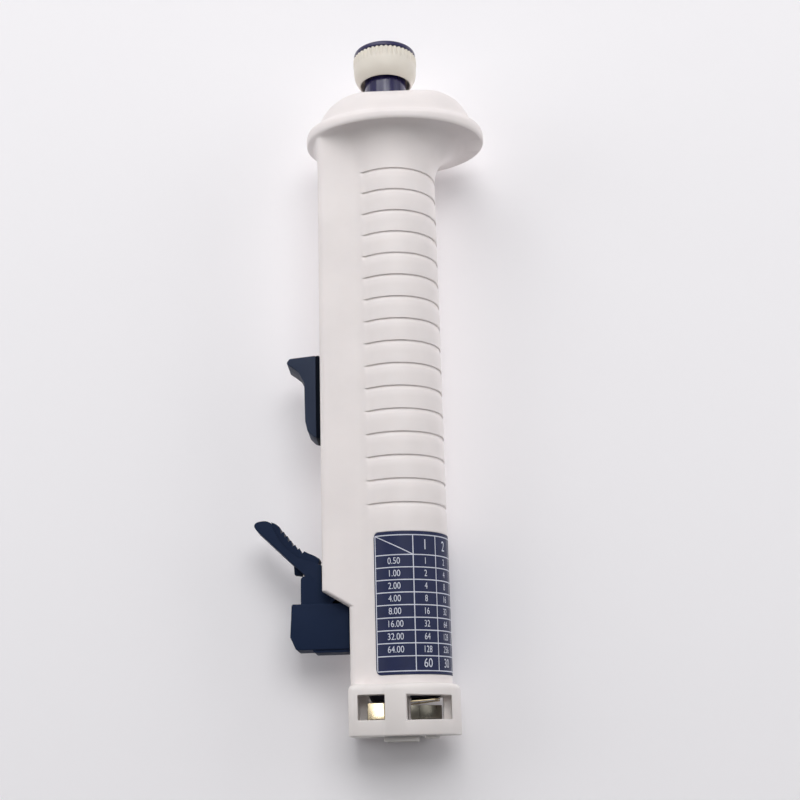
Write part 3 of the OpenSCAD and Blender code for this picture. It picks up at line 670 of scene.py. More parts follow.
@dataclass
class Section:
    """Cross-section of the body: a round grip with a flat-sided keel in front."""

    radius: float = 14.0
    half: float = 10.5
    corner: float = 1.8
    blend: float = 8.0
    # Points along half the outline: round grip, hollow blend, flat side, corner and front face.
    steps: tuple[int, int, int, int, int] = (90, 14, 16, 10, 12)

    def ring(self, front: float, z: float, shrink: float = 0.0) -> list[Point3]:
        """Gives the outline at a height.

        Args:
            front: Distance of the front face from the axis.
            z: Height.
            shrink: How far the outline is drawn in, for the hollow inside.

        Returns:
            The ring, anticlockwise from above, starting at the back.
        """
        radius, half, front = self.radius - shrink, self.half - shrink, front - shrink
        blend = self.blend + shrink
        corner = max(self.corner - shrink, 0.3)
        span = radius + blend
        middle_x = -math.sqrt(span**2 - (half + blend) ** 2)
        touch = math.atan2(half + blend, middle_x)
        grip, hollow, flat, turn, face = self.steps
        side: list[Point2] = []
        for i in range(grip):
            a = touch * i / grip
            side.append((radius * math.cos(a), radius * math.sin(a)))
        for i in range(hollow):
            a = (touch - math.pi) * (1 - i / hollow) + (-math.pi / 2) * (i / hollow)
            side.append((middle_x + blend * math.cos(a), half + blend + blend * math.sin(a)))
        for i in range(flat):
            t = i / flat
            side.append((middle_x * (1 - t) + (corner - front) * t, half))
        for i in range(turn):
            a = math.pi / 2 * (1 + i / turn)
            side.append((corner - front + corner * math.cos(a), half - corner + corner * math.sin(a)))
        for i in range(face + 1):
            side.append((-front, (half - corner) * (1 - i / face)))
        lower = [(x, -y) for x, y in reversed(side[1:-1])]
        return [(x, y, z) for x, y in side + lower]


@dataclass
class Housing:
    """Shell of the body: grip, keel, grooves and finger rest in one moulding."""

    section: Section = field(default_factory=Section)
    foot_z: float = 14.5
    front: float = 23.4
    low_front: float = 15.5
    keel_low: float = 37.0
    keel_high: float = 41.8
    # Half the height over which the keel's two bends are rounded.
    bend: float = 0.15
    plain_levels: tuple[float, ...] = (16.0, 20.0, 30.0, 36.5, 45.0, 52.0, 58.0, 62.0)
    groove_count: int = 16
    groove_z: float = 66.35
    groove_pitch: float = 7.13
    groove_depth: float = 0.44
    groove_top: float = 0.5
    groove_wall: float = 0.16
    groove_run: float = 0.95
    groove_x: float = -9.75
    groove_fade: float = 0.7
    flare_z: float = 172.5
    flare_power: float = 2.4
    flare_rings: int = 33
    rim_z: float = 187.0
    # Half length, half width and middle of the finger rest's ellipse.
    rest: Point3 = (29.0, 21.9, 1.5)
    # Point from which the body's outline spreads out to that ellipse.
    spread_x: float = -4.0
    dome_z: float = 205.3
    dome_fall: float = 0.027
    dome_soft: float = 1.2
    drape: float = 0.0045
    drape_z: float = 189.0
    front_fall: float = 5.0
    dial_x: float = -1.2
    hole: float = 7.2
    wall: float = 2.0
    slot_low: Point3 = (-40.0, -6.4, 21.5)
    slot_high: Point3 = (-8.0, 6.4, 121.0)
    # Share of the rim's ellipse and height, from the lower edge over the shoulder to the crown.
    over: tuple[Point2, ...] = (
        (0.979, 187.12), (0.991, 187.45), (0.998, 187.95), (1.0, 188.6), (1.0, 189.5), (0.997, 190.3),
        (0.988, 191.2), (0.972, 192.0), (0.951, 192.6), (0.927, 193.05), (0.905, 193.35), (0.889, 193.75),
        (0.876, 194.4), (0.862, 195.3), (0.846, 196.4), (0.825, 197.6), (0.797, 199.0), (0.76, 200.5),
        (0.71, 201.7), (0.65, 202.8), (0.58, 203.7), (0.49, 204.4), (0.4, 204.9), (0.27, 205.2),
    )

    def keel_front(self, z: float) -> float:
        """Gives the front face's distance at a height, with the keel's slanted foot."""
        t = (z - self.keel_low) / (self.keel_high - self.keel_low)
        return self.low_front + (self.front - self.low_front) * min(max(t, 0), 1)

    def rim_point(self, x: float, y: float) -> Point2:
        """Carries a point of the body's outline out to the rim's ellipse.

        Args:
            x: Point on the outline.
            y: Point on the outline.

        Returns:
            The point of the ellipse in the same direction.
        """
        a, b, middle = self.rest
        away = Vector((x - self.spread_x, y)).normalized()
        px = self.spread_x - middle
        qa = (away.x / a) ** 2 + (away.y / b) ** 2
        qb = 2 * px * away.x / a**2
        qc = (px / a) ** 2 - 1
        reach = (-qb + math.sqrt(qb * qb - 4 * qa * qc)) / (2 * qa)
        return (self.spread_x + away.x * reach, away.y * reach)

    def shrunk(self, x: float, y: float, share: float) -> Point2:
        """Gives the point of the rim's ellipse, drawn in to a share of its size.

        Args:
            x: Point on the body's outline.
            y: Point on the body's outline.
            share: Share of the ellipse.

        Returns:
            The point on the smaller ellipse.
        """
        px, py = self.rim_point(x, y)
        middle = self.rest[2]
        return (middle + (px - middle) * share, py * share)

    def groove(self, x: float, z: float) -> float:
        """Gives the depth of the grip grooves: a steep upper wall over a floor that runs out gently.

        Args:
            x: Distance behind the axis.
            z: Height.

        Returns:
            Depth in millimetres.
        """
        k = round((z - self.groove_z) / self.groove_pitch)
        if not 0 <= k < self.groove_count:
            return 0.0
        off = z - self.groove_z - k * self.groove_pitch
        if off > self.groove_top or off < -self.groove_run:
            return 0.0
        across = min(max((x - self.groove_x) / self.groove_fade, 0), 1)
        if off > 0.0:
            profile = min((self.groove_top - off) / self.groove_wall, 1)
        else:
            profile = max(1 - (-off / self.groove_run) ** 0.8, 0)
        return self.groove_depth * profile * across

    def levels(self) -> list[float]:
        """Lists the heights of the body's rings.

        Returns:
            Heights from the foot to the start of the flare.
        """
        found = {self.foot_z, *self.plain_levels}
        found |= {self.keel_low - self.bend, self.keel_low, self.keel_low + self.bend}
        found |= {self.keel_low + (self.keel_high - self.keel_low) * i / 8 for i in range(1, 8)}
        found |= {self.keel_high - self.bend, self.keel_high, self.keel_high + 2 * self.bend}
        for k in range(self.groove_count):
            z = self.groove_z + k * self.groove_pitch
            found |= {z + d for d in (-0.95, -0.7, -0.45, -0.22, -0.08, 0.0, 0.16, 0.34, 0.42, 0.5, 2.2, 4.2)}
        return sorted(z for z in found if z < self.flare_z + 2)

    def crown(self, u: float, z: float, x: float, y: float) -> float:
        """Lowers the crown and the brim's top towards their long sides and the front.

        Args:
            u: Share of the rim's ellipse.
            z: Height of the plain profile.
            x: Point on the ring.
            y: Point on the ring.

        Returns:
            The height at that point.
        """
        z -= self.drape * y * y * min(max((z - self.drape_z) / 3.0, 0), 1)
        if u >= 0.97:
            return z
        dome = self.dome_z - self.dome_fall * y * y
        h = min(max(0.5 + 0.5 * (dome - z) / self.dome_soft, 0), 1)
        low = dome * (1 - h) + z * h - self.dome_soft * h * (1 - h)
        return low - min(max((-x - 8) / 18, 0), 1) * (1 - u) * self.front_fall

    def flared(self, x: float, y: float, z: float) -> Point3:
        """Carries a point of the grip out into the rest's underside.

        Args:
            x: Point on the grip.
            y: Point on the grip.
            z: Height.

        Returns:
            The point on the flare, or the same point below it.
        """
        t = (z - self.flare_z) / (self.rim_z - self.flare_z)
        if t <= 0:
            return (x, y, z)
        share = 1 - (1 - min(t, 1) ** self.flare_power) ** (1 / self.flare_power)
        px, py = self.shrunk(x, y, 0.972)
        return (x + (px - x) * share, y + (py - y) * share, z)

    def grip_ring(self, front: float, z: float) -> list[Point3]:
        """Makes one ring of the grip, with its groove and the flare above it.

        Args:
            front: Distance of the front face from the axis.
            z: Height.

        Returns:
            The ring.
        """
        ring = []
        for x, y, _ in self.section.ring(front, z):
            scale = 1 - self.groove(x, z) / math.hypot(x, y)
            ring.append(self.flared(x * scale, y * scale, z))
        return ring

    def build(self) -> list[bpy.types.Object]:
        """Makes the shell.

        Returns:
            The housing piece.
        """
        heights = self.levels()
        rings = [self.grip_ring(self.keel_front(z), z) for z in heights]
        start = heights[-1]
        for i in range(1, self.flare_rings):
            rings.append(self.grip_ring(self.front, start + (self.rim_z - start) * i / self.flare_rings))
        outline = self.section.ring(self.front, 0)
        for u, z in self.over:
            brim = [self.shrunk(x, y, u) for x, y, _ in outline]
            rings.append([(x, y, self.crown(u, z, x, y)) for x, y in brim])
        shell = weld(loft("housing_shell", rings))
        cavity = loft("cavity", [
            self.section.ring(front, z, self.wall)
            for front, z in ((self.low_front, 10), (self.low_front, 39.4), (self.front, 44.2), (self.front, 192.0))])
        slot = box("slot", self.slot_low, self.slot_high)
        bore = rod("bore", self.hole, (self.dial_x, 0, 185), (self.dial_x, 0, 220), 96)
        recess = LabelWrap().sleeve("recess", 13.86, 15.5, 0.1)
        cut(shell, cavity, slot, bore, recess)
        return [finish_piece(shell, SHELL, Body.ROOT, ["housing"], 38)]


@dataclass
class LabelWrap:
    """Printed film round the lower grip, with a ruled table of plain numbers."""

    radius: float = 13.88
    thick: float = 0.22
    start: float = -34.0
    turn: float = 206.0
    low: float = 16.9
    high: float = 58.0
    corner: float = 1.6
    columns: tuple[float, ...] = (-32.0, 14.8, 45.7, 76.6, 107.5, 138.4, 169.3)
    head: float = 5.8
    row: float = 3.63
    foot: float = 4.2
    rows: int = 8
    margin: float = 1.1
    line: float = 0.29
    print_rise: float = 0.02
    # Heights of the figures in the head, the rows and the foot, and how much they are narrowed.
    head_text: float = 3.1
    row_text: float = 1.95
    foot_text: float = 2.6
    squeeze: float = 0.82
    row_squeeze: float = 0.74
    # Text size that gives a capital of height 1.
    font_scale: float = 1.38

    def at(self, angle: float, z: float, radius: float) -> Point3:
        """Gives the point at an angle in degrees from the side's normal."""
        a = math.radians(angle)
        return (radius * math.sin(a), -radius * math.cos(a), z)

    def sleeve(self, name: str, inner: float, outer: float, grow: float) -> bpy.types.Object:
        """Makes a solid strip that follows the wrap.

        Args:
            name: Object name.
            inner: Inner radius.
            outer: Outer radius.
            grow: How far it reaches past the label's edge.

        Returns:
            The strip.
        """
        extra = math.degrees(grow / self.radius)
        steps = 180
        rings = []
        for i in range(steps + 1):
            t = i / steps
            angle = self.start - extra + (self.turn + 2 * extra) * t
            from_end = min(t, 1 - t) * math.radians(self.turn) * self.radius
            trim = self.corner - math.sqrt(max(self.corner**2 - max(self.corner - from_end, 0) ** 2, 0))
            low, high = self.low - grow + trim, self.high + grow - trim
            rings.append([self.at(angle, low, inner), self.at(angle, low, outer),
                          self.at(angle, high, outer), self.at(angle, high, inner)])
        return weld(loft(name, rings))

    def ruled(self) -> bpy.types.Object:
        """Makes the table's lines as one thin raised print, with a slanted line across the head cell.

        Returns:
            The print.
        """
        outer, half = self.radius + self.thick, self.line / 2
        top = self.high - self.margin
        heights = [top] + [top - self.head - self.row * k for k in range(self.rows + 1)]
        heights.append(heights[-1] - self.foot)
        half_angle = math.degrees(half / outer)
        left, right = self.columns[0], self.columns[-1]
        strips = [(left, right, z - half, z + half, 0.0) for z in heights]
        strips += [(a - half_angle, a + half_angle, heights[-1], top, 0.0) for a in self.columns]
        strips.append((left, self.columns[1], top - half, top + half, self.head))
        points: list[Point3] = []
        faces: list[Sequence[int]] = []
        for a0, a1, z0, z1, fall in strips:
            steps = 24 if fall else max(1, int((a1 - a0) / 2))
            base = len(points)
            for i in range(steps + 1):
                t = i / steps
                points += [self.at(a0 + (a1 - a0) * t, z - fall * t, outer + self.print_rise) for z in (z0, z1)]
            faces += [(base + 2 * i, base + 2 * i + 2, base + 2 * i + 3, base + 2 * i + 1) for i in range(steps)]
        return raw_mesh("label_rules", points, faces)

    def figures(self) -> bpy.types.Object:
        """Makes the table's plain numbers as print.

        Returns:
            The print.
        """
        top = self.high - self.margin
        outer = self.radius + self.thick + self.print_rise
        points: list[Point3] = []
        faces: list[Sequence[int]] = []

        def put(text: str, angle: float, z: float, height: float, width: float = self.squeeze) -> None:
            """Wraps one number on the film.

            Args:
                text: The number.
                angle: Middle of its cell in degrees.
                z: Middle of its cell.
                height: Height of the figures.
                width: How much they are narrowed.
            """
            curve = bpy.data.curves.new("figure", "FONT")
            curve.body = text
            curve.size = height * self.font_scale
            curve.align_x, curve.align_y = "CENTER", "CENTER"
            carrier = bpy.data.objects.new("figure", curve)
            bpy.context.scene.collection.objects.link(carrier)
            graph = bpy.context.evaluated_depsgraph_get()
            mesh = bpy.data.meshes.new_from_object(carrier.evaluated_get(graph))
            base = len(points)
            points.extend(
                self.at(angle + math.degrees(v.co.x * width / outer), z + v.co.y, outer) for v in mesh.vertices)
            faces.extend([base + k for k in p.vertices] for p in mesh.polygons)
            bpy.data.objects.remove(carrier)
            bpy.data.curves.remove(curve)
            bpy.data.meshes.remove(mesh)

        middles = [(a + b) / 2 for a, b in zip(self.columns, self.columns[1:])]
        for k, angle in enumerate(middles[1:], 1):
            put(str(k), angle, top - self.head / 2, self.head_text)
        for row in range(self.rows):
            z = top - self.head - self.row * (row + 0.5)
            put(f"{2 ** row / 2:.2f}", middles[0], z, self.row_text)
            for k, angle in enumerate(middles[1:], 1):
                put(str(k * 2**row), angle, z, self.row_text, self.row_squeeze)
        z = top - self.head - self.rows * self.row - self.foot / 2
        for k, angle in enumerate(middles[1:], 1):
            put(str(60 // k), angle, z, self.foot_text)
        return raw_mesh("label_figures", points, faces)

    def build(self) -> list[bpy.types.Object]:
        """Makes the film, its lines and its numbers.

        Returns:
            The label's pieces.
        """
        film = self.sleeve("label_film", self.radius, self.radius + self.thick, 0)
        finish_piece(film, FILM, Body.ROOT, ["volume_label"])
        prints = [finish_piece(p, INK, Body.ROOT) for p in (self.ruled(), self.figures())]
        return [film, *prints]


@dataclass(frozen=True)
class ClipStrip:
    """One bent strip of the spring clip, with angles in degrees from the side's normal."""

    name: str
    start: float
    end: float
    # Lower and upper edge, each at the start and at the end.
    low: Point2
    high: Point2
    inward: float
    lean: float
    metal: Finish

    def build(self, side: int, word: str, radius: float) -> bpy.types.Object:
        """Bends the strip round the socket.

        Args:
            side: -1 for the near side, 1 for the far side.
            word: The side's name.
            radius: Outer radius of the clip.

        Returns:
            The strip.
        """
        rings = []
        thick = 0.4 + self.inward
        for i in range(41):
            t = i / 40
            a = math.radians(self.start + (self.end - self.start) * t)
            low, high = (edge[0] + (edge[1] - edge[0]) * t for edge in (self.low, self.high))
            r1 = radius - self.inward * math.sin(math.pi * t)
            corners = ((r1 - thick - self.lean, low), (r1 - thick, high), (r1, high), (r1 - self.lean, low))
            rings.append([(r * math.sin(a), side * r * math.cos(a), z) for r, z in corners])
        return soften(weld(loft(f"clip_{self.name}_{word}", rings)), 0.06)


@dataclass
class Nose:
    """D-shaped block that takes the tip, with two windows in each side over the clip."""

    section: Section = field(default_factory=lambda: Section(16.2, 15.0, 1.6, 3.0))
    front: float = 16.0
    # Height of each ring and how far it is drawn in.
    rim: tuple[Point2, ...] = (
        (0.0, 0.5), (0.1, 0.24), (0.26, 0.08), (0.5, 0.0), (12.6, 0.0), (13.2, 0.08), (13.7, 0.28),
        (14.1, 0.6), (14.36, 1.05), (14.5, 1.7),
    )
    # Radius, foot, top and points round: the socket, the ring's seat, the clip's groove and the plunger's hole.
    bores: tuple[tuple[float, float, float, int], ...] = (
        (11.32, -5.0, 12.0, 128), (12.7, -5.0, 4.0, 128), (12.15, 4.3, 11.7, 128), (8.6, 5.0, 20.0, 96))
    windows: tuple[tuple[float, float, float, float], ...] = ((-13.3, -5.6, 4.5, 11.5), (0.7, 13.4, 4.3, 11.1))
    ring_inner: float = 11.32
    ring_outer: float = 12.68
    ring_top: float = 4.0
    # Start, end and lower edge of the two lips on each side.
    lips: tuple[Point3, ...] = ((-6.0, 3.7, -1.45), (5.6, 9.4, -0.7))
    clip_radius: float = 11.95
    # Painted light in the strips' steels: the tongue's is a painted highlight, the plates' and hoops' painted shade.
    strips: tuple[ClipStrip, ...] = (
        ClipStrip("plate", -62.0, -14.0, (4.6, 4.6), (9.4, 9.4), 0.0, 0.3, CLIP_PAINTED_SHADE),
        ClipStrip("hoop", -62.0, -14.0, (9.7, 9.7), (11.6, 11.6), 0.0, 1.0, CLIP_PAINTED_DEEP_SHADE),
        ClipStrip("plate_b", 8.0, 20.0, (4.6, 4.6), (8.4, 8.4), 0.0, 0.0, CLIP_PAINTED_SHADE),
        ClipStrip("plate_c", 20.6, 62.0, (4.6, 4.6), (8.4, 8.4), 0.0, 0.0, CLIP_PAINTED_SHADE),
        ClipStrip("hoop_b", 8.0, 62.0, (10.5, 10.9), (11.6, 11.6), 0.0, 1.0, CLIP_PAINTED_DEEP_SHADE),
        ClipStrip("tongue", 8.0, 58.0, (9.3, 10.0), (9.7, 10.4), 0.9, 0.0, CLIP_PAINTED_HIGHLIGHT),
    )

    def build(self) -> list[bpy.types.Object]:
        """Makes the block, guide ring and clip.

        Returns:
            The nose's pieces.
        """
        rings = [self.section.ring(self.front, z, shrink) for z, shrink in self.rim]
        block = weld(loft("nose_block", rings))
        cutters = [rod("bore", r, (0, 0, z0), (0, 0, z1), steps) for r, z0, z1, steps in self.bores]
        for side in (-1, 1):
            for x0, x1, z0, z1 in self.windows:
                y0, y1 = sorted((side * 18.0, side * 5.2))
                cutters.append(soften(box("window", (x0, y0, z0), (x1, y1, z1)), 0.35))
                cutters.append(self.flare(x0, x1, z0, z1, side))
        cut(block, *cutters)
        finish_piece(block, NOSE, Body.ROOT, ["nose"], 38)
        return [block, *self.ring(), *self.clip()]

    def flare(self, x0: float, x1: float, z0: float, z1: float, side: int) -> bpy.types.Object:
        """Makes the wedge that opens a window's outer edge.

        Args:
            x0: Front edge of the window.
            x1: Back edge.
            z0: Lower edge.
            z1: Upper edge.
            side: -1 for the near side, 1 for the far side.

        Returns:
            The wedge.
        """
        rings = [[(x0 - g, y, z0 - g), (x1 + g, y, z0 - g), (x1 + g, y, z1 + g), (x0 - g, y, z1 + g)]
                 for y, g in ((side * 14.2, -0.35), (side * 16.8, 0.45))]
        return weld(loft("flare", rings))

    def ring(self) -> list[bpy.types.Object]:
        """Makes the guide ring with its two lips below the block.

        Returns:
            The ring and its lips.
        """
        inner, outer, top = self.ring_inner, self.ring_outer, self.ring_top
        ring = lathe("guide_ring", [(inner, 0.0), (outer, 0.0), (outer, top), (inner, top)], steps=160, closed=True)
        made = [finish_piece(soften(ring, 0.15), NATURAL, Body.ROOT, ["tip_guide_ring"])]
        for side in (-1, 1):
            for k, (x0, x1, drop) in enumerate(self.lips):
                a0, a1 = math.asin(x0 / 12.0), math.asin(x1 / 12.0)
                corners = ((11.35, 0.05), (11.35, drop), (12.4, drop), (12.4, 0.05))
                turns = [a0 + (a1 - a0) * i / 24 for i in range(25)]
                rings = [[(r * math.sin(a), side * r * math.cos(a), z) for r, z in corners] for a in turns]
                lip = soften(weld(loft(f"guide_lip_{'near' if side < 0 else 'far'}_{k}", rings)), 0.12)
                made.append(finish_piece(lip, NATURAL, Body.ROOT))
        return made

    def clip(self) -> list[bpy.types.Object]:
        """Makes the stainless spring clip behind the windows.

        Returns:
            The clip's strips and its two catches, which are folded out into the windows and lean back.
        """
        made: list[bpy.types.Object] = []
        for side in (-1, 1):
            word = "near" if side < 0 else "far"
            for strip in self.strips:
                piece = strip.build(side, word, self.clip_radius)
                replaced = [] if made else ["tip_clip"]
                made.append(finish_piece(piece, strip.metal, Body.ROOT, replaced))
            y = [side * d for d in (12.5, 12.85, 13.65, 13.3)]
            rings = [[(x, y[0], 9.2), (x, y[1], 9.2), (x, y[2], 4.7), (x, y[3], 4.7)] for x in (-10.5, -5.75)]
            catch = weld(loft(f"clip_catch_{word}", rings))
            # The catch's bright steel is a painted highlight.
            made.append(finish_piece(soften(catch, 0.06), CLIP_PAINTED_HIGHLIGHT, Body.ROOT))
        return made


# ---------------------------------------------------------------- dial


@dataclass
class Dial:
    """Volume dial: a fluted ivory ring with a navy disc on a polished neck."""

    x: float = -1.2
    foot: float = 209.4
    height: float = 9.9
    radius: float = 10.5
    flutes: int = 42
    flute_depth: float = 0.62
    # Height over the foot where the flutes start, and how far they take to reach full depth.
    flute_start: float = 6.1
    flute_run: float = 3.4

    def fluted(self, angle: float, radius: float, z: float) -> float:
        """Gives the ring's radius with its flutes.

        Args:
            angle: Angle round the axis in radians.
            radius: Plain radius.
            z: Height.

        Returns:
            The radius, smaller where a flute runs.
        """
        above = z - self.foot
        if above < 6.0 or radius < 9.9:
            return radius
        fade = min(max((above - self.flute_start) / self.flute_run, 0), 1)
        return radius - self.flute_depth * fade ** 0.8 * (0.5 - 0.5 * math.cos(self.flutes * angle)) ** 1.4

    def build(self) -> list[bpy.types.Object]:
        """Makes the ring and the disc.

        Returns:
            The dial's pieces.
        """
        z0, top, r = self.foot, self.foot + self.height, self.radius
        bowl = smooth_path([
            (8.0, z0 + 0.35), (8.35, z0 + 0.08), (8.8, z0 + 0.45), (9.55, z0 + 1.75), (10.05, z0 + 3.1),
            (10.3, z0 + 4.6), (10.35, z0 + 6.0)], 5)
        band = [(r - 0.14, z0 + 6.3), (r - 0.12, z0 + 6.6), (r - 0.08, z0 + 7.0), (r, z0 + 7.4), (r, z0 + 8.4),
                (r, z0 + 9.2), (r - 0.08, z0 + 9.6), (r - 0.25, z0 + 9.82), (r - 0.5, top), (r - 1.15, top)]
        inside = [(9.3, top - 0.05), (9.3, top - 1.1), (4.1, top - 1.1), (4.1, z0 + 3.45), (8.0, z0 + 3.45)]
        profile = bowl + band + inside
        ring = lathe("dial_ring_body", profile, (self.x, 0), self.flutes * 14, closed=True, ripple=self.fluted)
        finish_piece(ring, IVORY, Body.DIAL, ["dial_ring"], 40)
        cap = [(9.25, -1.0), (9.25, 0.02), (9.95, 0.06), (10.2, 0.3), (10.22, 1.1), (10.05, 1.55), (9.6, 1.85),
               (9.0, 1.95), (8.5, 1.8), (8.2, 1.5), (7.0, 1.4), (3.0, 1.38), (0.2, 1.38)]
        disc = lathe("dial_disc_top", [(q, top + z) for q, z in cap], (self.x, 0), 128)
        finish_piece(disc, DISC, Body.DIAL, ["dial_disc"], 40)
        return [ring, disc]


# ---------------------------------------------------------------- levers


@dataclass
class ThumbLever:
    """Hooked stepping lever on the keel, over a nearly black seat strip of painted shade and the neck behind it."""

    half: float = 5.8
    face: float = -23.7

    def build(self) -> list[bpy.types.Object]:
        """Makes the hook, its seat strip and its neck.

        Returns:
            The lever's pieces.
        """
        seat = self.face - 1.2
        outline = rounded([
            (seat, 115.0, 0.4), (-33.0, 114.2, 1.0), (-34.1, 112.7, 0.7), (-31.9, 111.1, 1.5), (-30.2, 109.7, 1.6),
            (-28.5, 106.4, 3.4), (-28.3, 94.2, 3.0), (-27.6, 91.1, 1.6), (-26.0, 89.4, 1.6), (seat, 88.9, 0.2)], 6)
        hook = plate("step_hook", outline, self.half, 1.0)
        # The hook's paler navy is painted light.
        finish_piece(hook, HOOK_PAINTED_LIT, Body.THUMB, ["step_lever"], 40)
        # The seat strip's near black is painted shade.
        edge = rounded([(self.face, 115.2, 0.5), (seat - 0.05, 115.0, 0.1), (seat - 0.05, 88.95, 0.1),
                        (self.face, 88.5, 0.3)], 6)
        strip = plate("step_seat", edge, self.half - 0.5, 0.2)
        finish_piece(strip, SEAT_PAINTED_SHADE, Body.THUMB)
        neck = box("step_neck", (self.face - 0.4, -4.6, 95.5), (-21.15, 4.6, 111.5))
        finish_piece(neck, NAVY, Body.THUMB)
        return [hook, strip, neck]


@dataclass
class FillingLever:
    """Release lever with a ribbed thumb plate over the slide's block."""

    half: float = 4.7
    ribs: int = 6
    rib_start: float = 3.0
    rib_pitch: float = 1.75
    rib_depth: float = 1.2
    inner: tuple[Point2, ...] = (
        (-38.9, 63.1), (-37.9, 60.9), (-36.6, 58.2), (-35.2, 56.2), (-33.4, 54.3), (-31.7, 53.0), (-30.2, 52.2),
        (-27.2, 51.2), (-23.75, 49.9),
    )
    crest: tuple[Point2, ...] = (
        (-38.9, 63.5), (-37.4, 62.8), (-35.9, 61.5), (-34.3, 59.6), (-32.9, 57.8), (-31.3, 56.2), (-29.6, 54.8),
        (-27.8, 53.8), (-26.0, 53.0), (-24.4, 52.0),
    )

    def build(self) -> list[bpy.types.Object]:
        """Makes the stem with its thumb plate, the heel's rib and the grip pad.

        Returns:
            The lever's pieces.
        """
        tip = smooth_path([
            (-43.4, 61.2), (-43.9, 62.0), (-43.9, 62.7), (-43.2, 63.4), (-41.8, 63.75), (-40.4, 63.75),
            (-38.9, 63.1)], 4)
        foot = rounded([
            (-23.75, 45.0, 1.0), (-21.0, 41.1, 0.8), (-19.2, 41.0, 1.0), (-17.6, 40.0, 1.0), (-17.7, 37.8, 1.2),
            (-20.2, 35.6, 1.0), (-23.6, 29.9, 0.4), (-30.1, 29.9, 0.6), (-30.05, 47.4, 1.2)], 5)
        side = tip[:-1] + smooth_path(self.inner, 4) + foot
        lever = plate("release_lever", side, self.half, 0.5)
        finish_piece(lever, NAVY, Body.RELEASE, ["release_lever"], 40)
        heel = rounded([(-29.9, 47.5, 0.1), (-32.2, 47.8, 0.3), (-32.4, 50.3, 0.2), (-29.9, 50.3, 0.1)], 4)
        rib = plate("release_heel_rib", heel, 1.5, 0.2)
        finish_piece(rib, NAVY, Body.RELEASE, [], 40)
        return [lever, rib, self.pad()]

    def pad(self) -> bpy.types.Object:
        """Makes the crowned grip pad, stepped into ribs like a stack of scales.

        Returns:
            The pad.
        """
        top = smooth_path(self.crest, 16)
        run, high = 0.0, []
        for a, b in zip(top, top[1:]):
            along = (Vector(b) - Vector(a)).normalized()
            inward = Vector((along.y, -along.x))
            k = (run - self.rib_start) / self.rib_pitch
            dip = self.rib_depth * (k % 1.0) * (1 - 0.06 * k) if 0 <= k < self.ribs else 0.0
            high.append(tuple(Vector(a) + inward * dip))
            run += math.dist(a, b)
        low = [(x - 0.25, z - 0.3) for x, z in smooth_path(self.inner, 6) if -38.2 < x < -24.4]
        pad = plate("release_rib_pad", high + list(reversed(low)), self.half - 0.8, 0.0)
        return finish_piece(pad, NAVY, Body.RELEASE, ["lever_pad"], 25)


@dataclass
class SlideBlock:
    """Outer block of the filling slide, with two ears for the release lever's pin."""

    half: float = 6.0
    back: float = -15.75
    foot: float = 25.1
    top: float = 38.5
    pin: Point2 = (-19.2, 39.1)
    pin_hole: float = 0.82
    ear_inner: float = 5.05
    ear_outer: float = 5.9

    def build(self) -> list[bpy.types.Object]:
        """Makes the block, the guide bar under it and the ears.

        Returns:
            The block's pieces.
        """
        back, foot, top = self.back, self.foot, self.top
        outline = rounded([(back, foot, 0.3), (-31.4, foot, 0.8), (-33.15, 28.9, 0.8), (-32.7, top, 0.5),
                           (back, top, 0.3)], 12)
        block = plate("slide_block", outline, self.half, 0.4)
        cut(block, box("pocket", (-31.4, -5.0, 26.5), (-17.15, 5.0, 50)))
        finish_piece(block, NAVY, Body.SLIDE, ["carriage_block"], 40)
        under = rounded([(back, 24.3, 0.2), (-26.0, 24.3, 0.4), (-26.8, 25.15, 0.2), (back, 25.15, 0.1)], 15)
        bar = plate("slide_guide_bar", under, self.half - 0.6, 0.2)
        finish_piece(bar, NAVY, Body.SLIDE)
        made = [block, bar]
        ear = rounded([(-17.3, 38.3, 0.1), (-17.3, 40.2, 1.4), (-21.1, 40.2, 1.4), (-21.1, 38.3, 0.1)], 12)
        x, z = self.pin
        for side in (-1, 1):
            y0, y1 = sorted((side * self.ear_inner, side * self.ear_outer))
            lug = plate(f"slide_lug_{'near' if side < 0 else 'far'}", ear, (y1 - y0) / 2, 0.15, (y0 + y1) / 2)
            cut(lug, rod("hole", self.pin_hole, (x, y0 - 1, z), (x, y1 + 1, z), 32))
            made.append(finish_piece(lug, NAVY, Body.SLIDE, [], 40))
        return made


# ---------------------------------------------------------------- carried-over nodes


CARRIED: dict[str, Finish] = {
    "guide_rods": STEEL, "step_rods": STEEL, "nose_screws": STEEL, "plate_screws": STEEL, "block_screws": STEEL,
    "rack": STEEL, "rack_screws": STEEL, "jaw_pins": STEEL, "pivot_pin": STEEL, "pawl": STEEL, "pawl_pin": STEEL,
    "step_screws": STEEL, "shaft_clip": STEEL, "cam_pin": STEEL, "dial_screw": STEEL, "detent_ball": STEEL,
    "detent_spring": WIRE, "step_springs": WIRE, "lower_plate": BLACK_POM, "mid_plate": BLACK_POM,
    "upper_plate": BLACK_POM, "step_carrier": BLACK_POM, "carriage": BLACK_POM, "end_bumper": RUBBER,
    "dial_shaft": NAVY_GLOSS, "volume_cam": WHITE_POM, "mask_slider": WHITE_POM, "front_jaw": WHITE_POM,
    "rear_jaw": WHITE_POM,
}


def dress_carried_nodes() -> None:
    """Gives each CAD node that stays in view its detailed finish."""
    for name, finish in CARRIED.items():
        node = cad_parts[name]
        node.data.materials.clear()
        node.data.materials.append(MATERIALS.get(finish))
        node.data.shade_smooth()
        node.data.set_sharp_from_angle(angle=math.radians(30))


def seat_return_springs() -> bpy.types.Object:
    """Copies the two return springs between the middle plate and the thumb lever's carrier into a piece of their own
    and hides the CAD node.

    Returns:
        The springs' piece.
    """
    springs = bpy.data.objects.new("return_springs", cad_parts["step_springs"].data.copy())
    bpy.context.scene.collection.objects.link(springs)
    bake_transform(springs)
    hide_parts("step_springs")
    return springs


# ---------------------------------------------------------------- stage, light and camera


